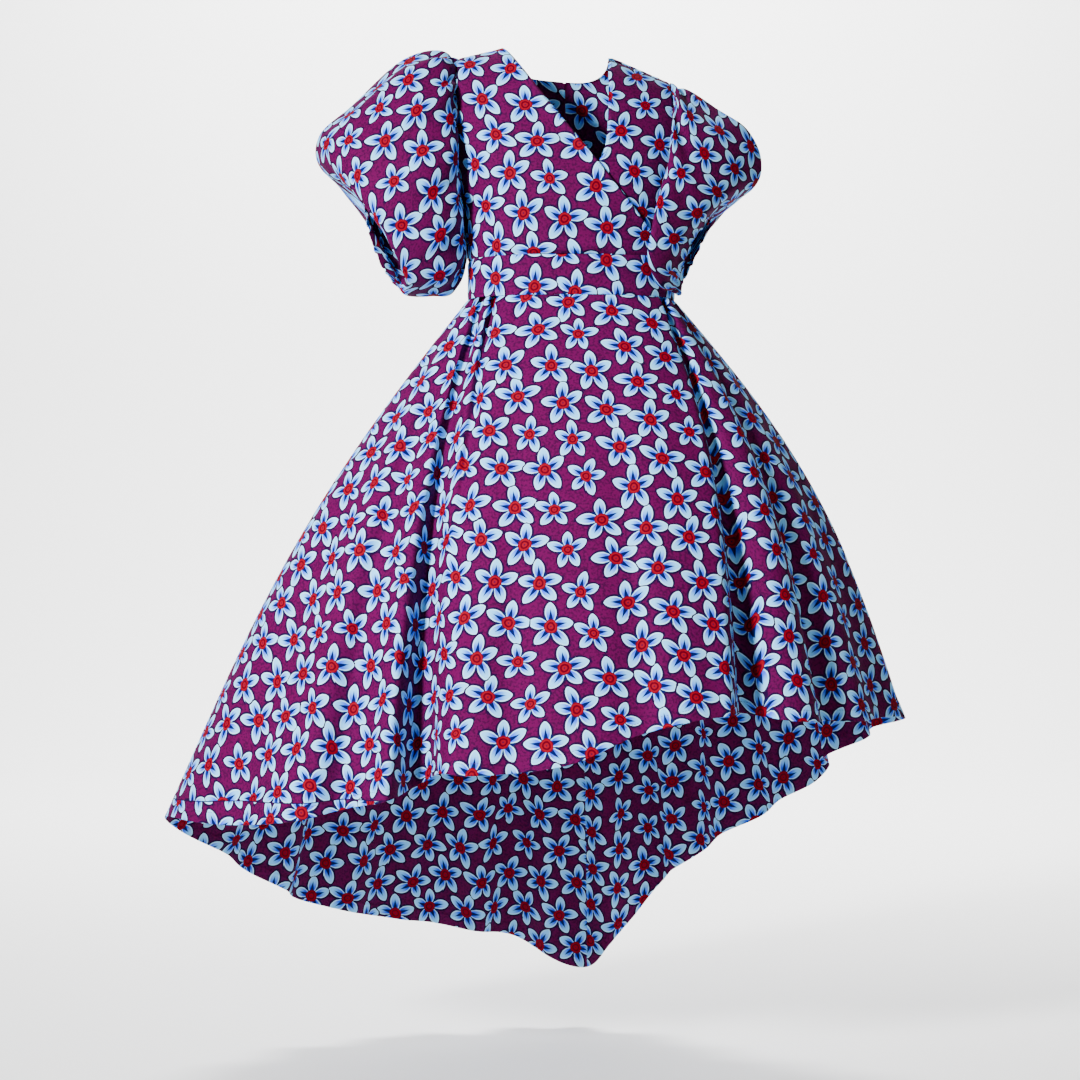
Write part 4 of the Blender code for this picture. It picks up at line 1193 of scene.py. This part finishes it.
def stitch_row(name, line, normal):
    """A row of stitches along a line: short rods with tapered ends.

    Each is a turned profile carried along the line, raised by a third of its radius off the cloth.
    """
    length = way_along(line, 0)
    starts = np.arange(0, length[-1] - STITCH_LENGTH, STITCH_LENGTH + STITCH_GAP)
    head, tail = read_along(starts, length, line), read_along(starts + STITCH_LENGTH, length, line)
    middle = (head + tail) / 2
    along = unit(tail - head)
    up = read_along(starts + STITCH_LENGTH / 2, length, normal)
    up = unit(up - np.einsum("ij,ij->i", up, along)[:, None] * along)
    side = np.cross(along, up)
    place = np.linspace(-1, 1, len(STITCH_PROFILE))
    round_it = np.arange(STITCH_SIDES) * 2 * np.pi / STITCH_SIDES
    reach = np.array(STITCH_PROFILE) * STITCH_RADIUS
    lift = up[:, None, None] * (np.cos(round_it)[:, None] * reach[:, None, None] + STITCH_RADIUS / 3)
    points = middle[:, None, None] + along[:, None, None] * place[:, None, None] * STITCH_LENGTH / 2
    points = points + lift + side[:, None, None] * np.sin(round_it)[:, None] * reach[:, None, None]
    faces = rod_faces(len(place), STITCH_SIDES, len(starts))
    row = put_in_scene(name, smooth_mesh(name, points, faces, materials["thread"]))
    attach(row, "root")


class Wire:
    """A number or vector that a material's nodes work out. Arithmetic on it adds the nodes."""

    def __init__(self, tree, socket):
        self.tree, self.socket = tree, socket

    def __add__(self, other):
        return work(self.tree, "ADD", self, other)

    def __sub__(self, other):
        return work(self.tree, "SUBTRACT", self, other)

    def __rsub__(self, other):
        return work(self.tree, "SUBTRACT", other, self)

    def __mul__(self, other):
        return work(self.tree, "MULTIPLY", self, other)

    def __truediv__(self, other):
        return work(self.tree, "DIVIDE", self, other)

    def __pow__(self, other):
        return work(self.tree, "POWER", self, other)

    def under(self, other):
        """1 where this is under the other and 0 elsewhere."""
        return work(self.tree, "LESS_THAN", self, other)

    def size(self):
        """This without its sign."""
        return work(self.tree, "ABSOLUTE", self)

    def soft_under(self, edge, width):
        """1 where this is under the edge and 0 above it, with a soft step of this width."""
        node = self.tree.nodes.new("ShaderNodeMapRange")
        node.interpolation_type = "SMOOTHSTEP"
        feed(self.tree, node.inputs["Value"], self)
        feed(self.tree, node.inputs["From Min"], edge - width / 2)
        feed(self.tree, node.inputs["From Max"], edge + width / 2)
        node.inputs["To Min"].default_value = 1.0
        node.inputs["To Max"].default_value = 0.0
        return Wire(self.tree, node.outputs["Result"])

    def parts(self):
        """The three numbers of this vector."""
        node = self.tree.nodes.new("ShaderNodeSeparateXYZ")
        feed(self.tree, node.inputs[0], self)
        return [Wire(self.tree, output) for output in node.outputs]


def feed(tree, socket, value):
    """Gives an input a wire or a plain value."""
    if isinstance(value, Wire):
        tree.links.new(value.socket, socket)
    else:
        socket.default_value = value


def work(tree, operation, *values):
    """One step of arithmetic."""
    node = tree.nodes.new("ShaderNodeMath")
    node.operation = operation
    for socket, value in zip(node.inputs, values):
        feed(tree, socket, value)
    return Wire(tree, node.outputs[0])


def together(tree, *values):
    """A vector of three numbers."""
    node = tree.nodes.new("ShaderNodeCombineXYZ")
    for socket, value in zip(node.inputs, values):
        feed(tree, socket, value)
    return Wire(tree, node.outputs[0])


def noise(tree, place, scale, detail=2.0):
    """Soft noise from 0 to 1 on the cloth; scale is in waves for each metre."""
    node = tree.nodes.new("ShaderNodeTexNoise")
    feed(tree, node.inputs["Vector"], place)
    node.inputs["Scale"].default_value = scale
    node.inputs["Detail"].default_value = detail
    return Wire(tree, node.outputs["Fac"])


def noise_between(tree, place, scale, low, high):
    """Soft noise from one value to another."""
    return noise(tree, place, scale) * (high - low) + low


def mix(tree, kind, share, first, second):
    """The first value where the share is 0 and the second where it is 1, as colours or as vectors."""
    node = tree.nodes.new("ShaderNodeMix")
    node.data_type = kind
    feed(tree, node.inputs["Factor"], share)
    feed(tree, node.inputs["A"], first)
    feed(tree, node.inputs["B"], second)
    return Wire(tree, node.outputs["Result"])


def blend(tree, share, first, second):
    """The first colour where the share is 0 and the second where it is 1."""
    return mix(tree, "RGBA", share, first, second)


def nearer(tree, first, second):
    """Of two vectors, the one whose first number is lower."""
    return mix(tree, "VECTOR", second.parts()[0].under(first.parts()[0]), first, second)


def petal_form():
    """One flower of the print as a group of nodes: where a place lies on the flower of one cell.

    A cell's own random numbers shift, turn and size its flower. Its place is folded into one petal of five.
    The result holds how far it is outside the petal, its way along the petal and its way across, over the
    radius. A petal's half width is a power of its way along, times a power of what is left of it.
    """
    tree = bpy.data.node_groups.new("flower_of_a_cell", "ShaderNodeTree")
    tree.interface.new_socket("Place", in_out="INPUT", socket_type="NodeSocketVector")
    tree.interface.new_socket("Cell", in_out="INPUT", socket_type="NodeSocketVector")
    tree.interface.new_socket("Petal", in_out="OUTPUT", socket_type="NodeSocketVector")
    given, result = tree.nodes.new("NodeGroupInput"), tree.nodes.new("NodeGroupOutput")
    x, y, _ = Wire(tree, given.outputs["Place"]).parts()
    column, row, _ = Wire(tree, given.outputs["Cell"]).parts()
    chance = tree.nodes.new("ShaderNodeTexWhiteNoise")
    chance.noise_dimensions = "3D"
    feed(tree, chance.inputs["Vector"], together(tree, column + 0.5, row + 0.5, 0.5))
    shift_x, shift_y, twist = Wire(tree, chance.outputs["Color"]).parts()
    (across_x, across_y), (down_x, down_y) = FLOWER_ROW, FLOWER_COLUMN
    off_x = x - column * across_x - row * down_x - (shift_x - 0.5) * FLOWER_SHIFT
    off_y = y - column * across_y - row * down_y - (shift_y - 0.5) * FLOWER_SHIFT
    small = Wire(tree, chance.outputs["Value"]).under(SMALL_FLOWERS)
    radius = (1.0 - small * SMALLER_BY) * FLOWER_RADIUS
    off_x, off_y = off_x / radius, off_y / radius
    reach = work(tree, "SQRT", off_x * off_x + off_y * off_y)
    angle = work(tree, "ARCTAN2", off_x, off_y) / PETAL_ANGLE
    angle = angle + (twist - 0.5) * FLOWER_TWIST + (WHOLE_PETALS + 0.5)
    petal = work(tree, "FLOOR", angle)
    within = (angle - petal - 0.5) * PETAL_ANGLE
    sway = work(tree, "SINE", petal * SWAY_PITCH + shift_x * CHANCE_TURNS)
    longer = work(tree, "SINE", petal * REACH_PITCH + shift_y * CHANCE_TURNS) * PETAL_REACH + 1.0
    along = reach * work(tree, "COSINE", within) * longer
    across = reach * work(tree, "SINE", within)
    across = (across - along * along * sway * PETAL_LEAN).size()
    part = work(tree, "MAXIMUM", work(tree, "MINIMUM", along, 1.0), 0.0)
    width = (part**PETAL_SWELL) * ((1.0 - part) ** PETAL_POINT) * PETAL_WIDTH
    beyond = work(tree, "MAXIMUM", across - width, along - 1.0)
    outside = work(tree, "MINIMUM", beyond, reach - DISC)
    feed(tree, result.inputs["Petal"], together(tree, outside, along, across))
    return tree


def nearest_flower(tree, x, y):
    """Where a place lies on the nearest flower of the four cells round it, as petal_form's three numbers.

    Where the next flower is nearly as near, the place counts as outside both, which leaves a line of ink
    between flowers that meet.
    """
    place = together(tree, x, y, 0.0)
    (across_x, across_y), (down_x, down_y) = FLOWER_ROW, FLOWER_COLUMN
    cell = across_x * down_y - across_y * down_x
    column = work(tree, "FLOOR", (x * down_y - y * down_x) / cell)
    row = work(tree, "FLOOR", (y * across_x - x * across_y) / cell)
    form = petal_form()
    nearest, next_one = None, None
    for right, down in ((0.0, 0.0), (1.0, 0.0), (0.0, 1.0), (1.0, 1.0)):
        flower = tree.nodes.new("ShaderNodeGroup")
        flower.node_tree = form
        feed(tree, flower.inputs["Place"], place)
        feed(tree, flower.inputs["Cell"], together(tree, column + right, row + down, 0.0))
        found = Wire(tree, flower.outputs["Petal"])
        if nearest is None:
            nearest = found
            continue
        further = work(tree, "MAXIMUM", nearest.parts()[0], found.parts()[0])
        next_one = further if next_one is None else work(tree, "MINIMUM", next_one, further)
        nearest = nearer(tree, nearest, found)
    outside, along, across = nearest.parts()
    return work(tree, "MAXIMUM", outside, OVERLAP_LINE - (next_one - outside)), along, across


def flower_colours(tree, ground, outside, along, across):
    """Colours of a flower on the ground.

    An ink line runs round the petals, which fade from deep blue at the disc to light blue at the point,
    with a pale rim and a dark rib. Dark wedges fill between them near the disc, which has a dark ring, a
    dark rim and a dot.
    """
    reach = work(tree, "SQRT", along * along + across * across)
    painted = blend(tree, outside.soft_under(*OUTLINE_EDGE), ground, INK)
    petal = blend(tree, along.soft_under(*BLUE_EDGE), PETAL, PETAL_BLUE)
    petal = blend(tree, outside.soft_under(*RIM_EDGE), PETAL_RIM, petal)
    rib = ((RIB_END - along) / RIB_END * RIB_WIDTH - across).soft_under(*RIB_EDGE)
    petal = blend(tree, rib, NAVY, petal)
    painted = blend(tree, outside.soft_under(*PETAL_EDGE), painted, petal)
    wedge = reach.soft_under(*WEDGE_EDGE) * (1.0 - outside.soft_under(*WEDGE_SIDE))
    painted = blend(tree, wedge, painted, NAVY)
    disc = blend(tree, (reach - DISC_RING).size().soft_under(*DISC_RING_EDGE), RED, RED_DARK)
    disc = blend(tree, reach.soft_under(*DOT_EDGE), disc, DOT)
    disc = blend(tree, reach.soft_under(*DISC_RIM_EDGE), RED_DARK, disc)
    return blend(tree, reach.soft_under(*DISC_EDGE), painted, disc)


def new_material(name):
    """A material with its nodes and its shader."""
    material = bpy.data.materials.new(name)
    material.use_nodes = True
    return material, material.node_tree, material.node_tree.nodes["Principled BSDF"]


def wax_print():
    """The printed cotton: flowers in slanting rows on mottled magenta, over a plain weave, almost matt.

    The facing's mark is 1 on its line and grows below it, where the print is moved, and is 0 on the pieces
    without a facing.
    """
    material, tree, shader = new_material("wax_print_cotton")
    cloth = tree.nodes.new("ShaderNodeUVMap")
    cloth.uv_map = CLOTH_MAP
    x, y, _ = Wire(tree, cloth.outputs["UV"]).parts()
    marked = tree.nodes.new("ShaderNodeAttribute")
    marked.attribute_name = FACING
    facing = Wire(tree, marked.outputs["Fac"])
    on_facing = 1.0 - facing.under(1.0)
    x, y = x + on_facing * FACING_SHIFT[0], y + on_facing * FACING_SHIFT[1]
    place = together(tree, x, y, 0.0)

    mottle = noise(tree, place, FINE_MOTTLE, FINE_DETAIL) * FINE_SHARE
    mottle = mottle + noise(tree, place, COARSE_MOTTLE) * (1 - FINE_SHARE)
    ground = blend(tree, mottle.soft_under(*MOTTLE_EDGE), GROUND, GROUND_DARK)
    painted = flower_colours(tree, ground, *nearest_flower(tree, x, y))
    painted = blend(tree, (facing - 1.0).size().under(FACING_INK), painted, INK)
    tone = tree.nodes.new("ShaderNodeHueSaturation")
    feed(tree, tone.inputs["Color"], painted)
    feed(tree, tone.inputs["Value"], noise_between(tree, place, FADING, *FADED_TONE))
    tree.links.new(tone.outputs["Color"], shader.inputs["Base Color"])

    threads = work(tree, "SINE", x * THREADS) * work(tree, "SINE", y * THREADS)
    bump = tree.nodes.new("ShaderNodeBump")
    bump.inputs["Strength"].default_value = WEAVE_STRENGTH
    bump.inputs["Distance"].default_value = WEAVE_RELIEF
    feed(tree, bump.inputs["Height"], threads * 0.5 + noise(tree, place, FUZZ) * 0.5)
    tree.links.new(bump.outputs["Normal"], shader.inputs["Normal"])
    feed(tree, shader.inputs["Roughness"], noise_between(tree, place, GLOSS_PATCHES, *CLOTH_ROUGHNESS))
    shader.inputs["Specular IOR Level"].default_value = CLOTH_SPECULAR
    return material


def sewing_thread():
    """Plum polyester thread: two plies that show as slanting lines, as sines of the sum of x, y and z."""
    material, tree, shader = new_material("plum_thread")
    where = tree.nodes.new("ShaderNodeTexCoord")
    x, y, z = Wire(tree, where.outputs["Object"]).parts()
    plies = work(tree, "SINE", (x + y + z) * PLIES) * 0.5 + 0.5
    feed(tree, shader.inputs["Base Color"], blend(tree, plies, GROUND_DARK, GROUND))
    shader.inputs["Roughness"].default_value = THREAD_ROUGHNESS
    shader.inputs["Specular IOR Level"].default_value = THREAD_SPECULAR
    return material


def studio_floor():
    """A pale floor that runs level, then up a quarter circle, then up a straight wall."""
    rows = np.linspace(0, 1, FLOOR_ROWS)
    bend = ramp(rows, *BEND_ROWS) * np.pi / 2
    y = FLOOR_FRONT + (FLOOR_BACK - FLOOR_FRONT) * ramp(rows, 0, BEND_ROWS[0]) + FLOOR_BEND * np.sin(bend)
    z = FLOOR_LEVEL + FLOOR_BEND * (1 - np.cos(bend)) + FLOOR_WALL * ramp(rows, BEND_ROWS[1], 1)
    grid_x, grid_y = np.meshgrid((-FLOOR_REACH, FLOOR_REACH), y)
    points = np.stack([grid_x, grid_y, np.broadcast_to(z[:, None], grid_x.shape)], axis=-1)
    index = np.arange(grid_x.size).reshape(grid_x.shape)
    faces = np.stack([index[:-1, 0], index[:-1, 1], index[1:, 1], index[1:, 0]], axis=1)
    paper, _, shader = new_material("pale_paper")
    shader.inputs["Base Color"].default_value = PAPER
    shader.inputs["Roughness"].default_value = PAPER_ROUGHNESS
    mesh = smooth_mesh("studio_floor", points, faces.tolist(), paper)
    put_in_scene("studio_floor", mesh)


def studio_light():
    """Soft round lamps, and a weak white light from all round."""
    for name, place, aim, size, spread, power in LIGHTS:
        lamp = bpy.data.lights.new(name, "AREA")
        lamp.shape = "DISK"
        lamp.size = size
        lamp.spread = np.radians(spread)
        lamp.energy = power
        light = put_in_scene(name, lamp)
        light.location = place
        light.rotation_euler = (Vector(aim) - Vector(place)).to_track_quat("-Z", "Y").to_euler()
    world = bpy.data.worlds.new("white_room")
    world.use_nodes = True
    background = world.node_tree.nodes["Background"]
    background.inputs["Color"].default_value = WHITE
    background.inputs["Strength"].default_value = WORLD_LIGHT
    bpy.context.scene.world = world


def photo_camera():
    """The camera at the photo's view, level and looking along +Y."""
    view = bpy.data.cameras.new("photo_view")
    view.lens = LENS
    view.sensor_width = LENS_FRAME
    camera = put_in_scene("photo_view", view)
    camera.location = CAMERA_PLACE
    camera.rotation_euler = (np.pi / 2, 0, 0)
    bpy.context.scene.camera = camera


materials = {"print": wax_print(), "thread": sewing_thread()}
make_bodice()
make_waistband()
make_skirt()
make_sleeves()
studio_floor()
studio_light()
photo_camera()
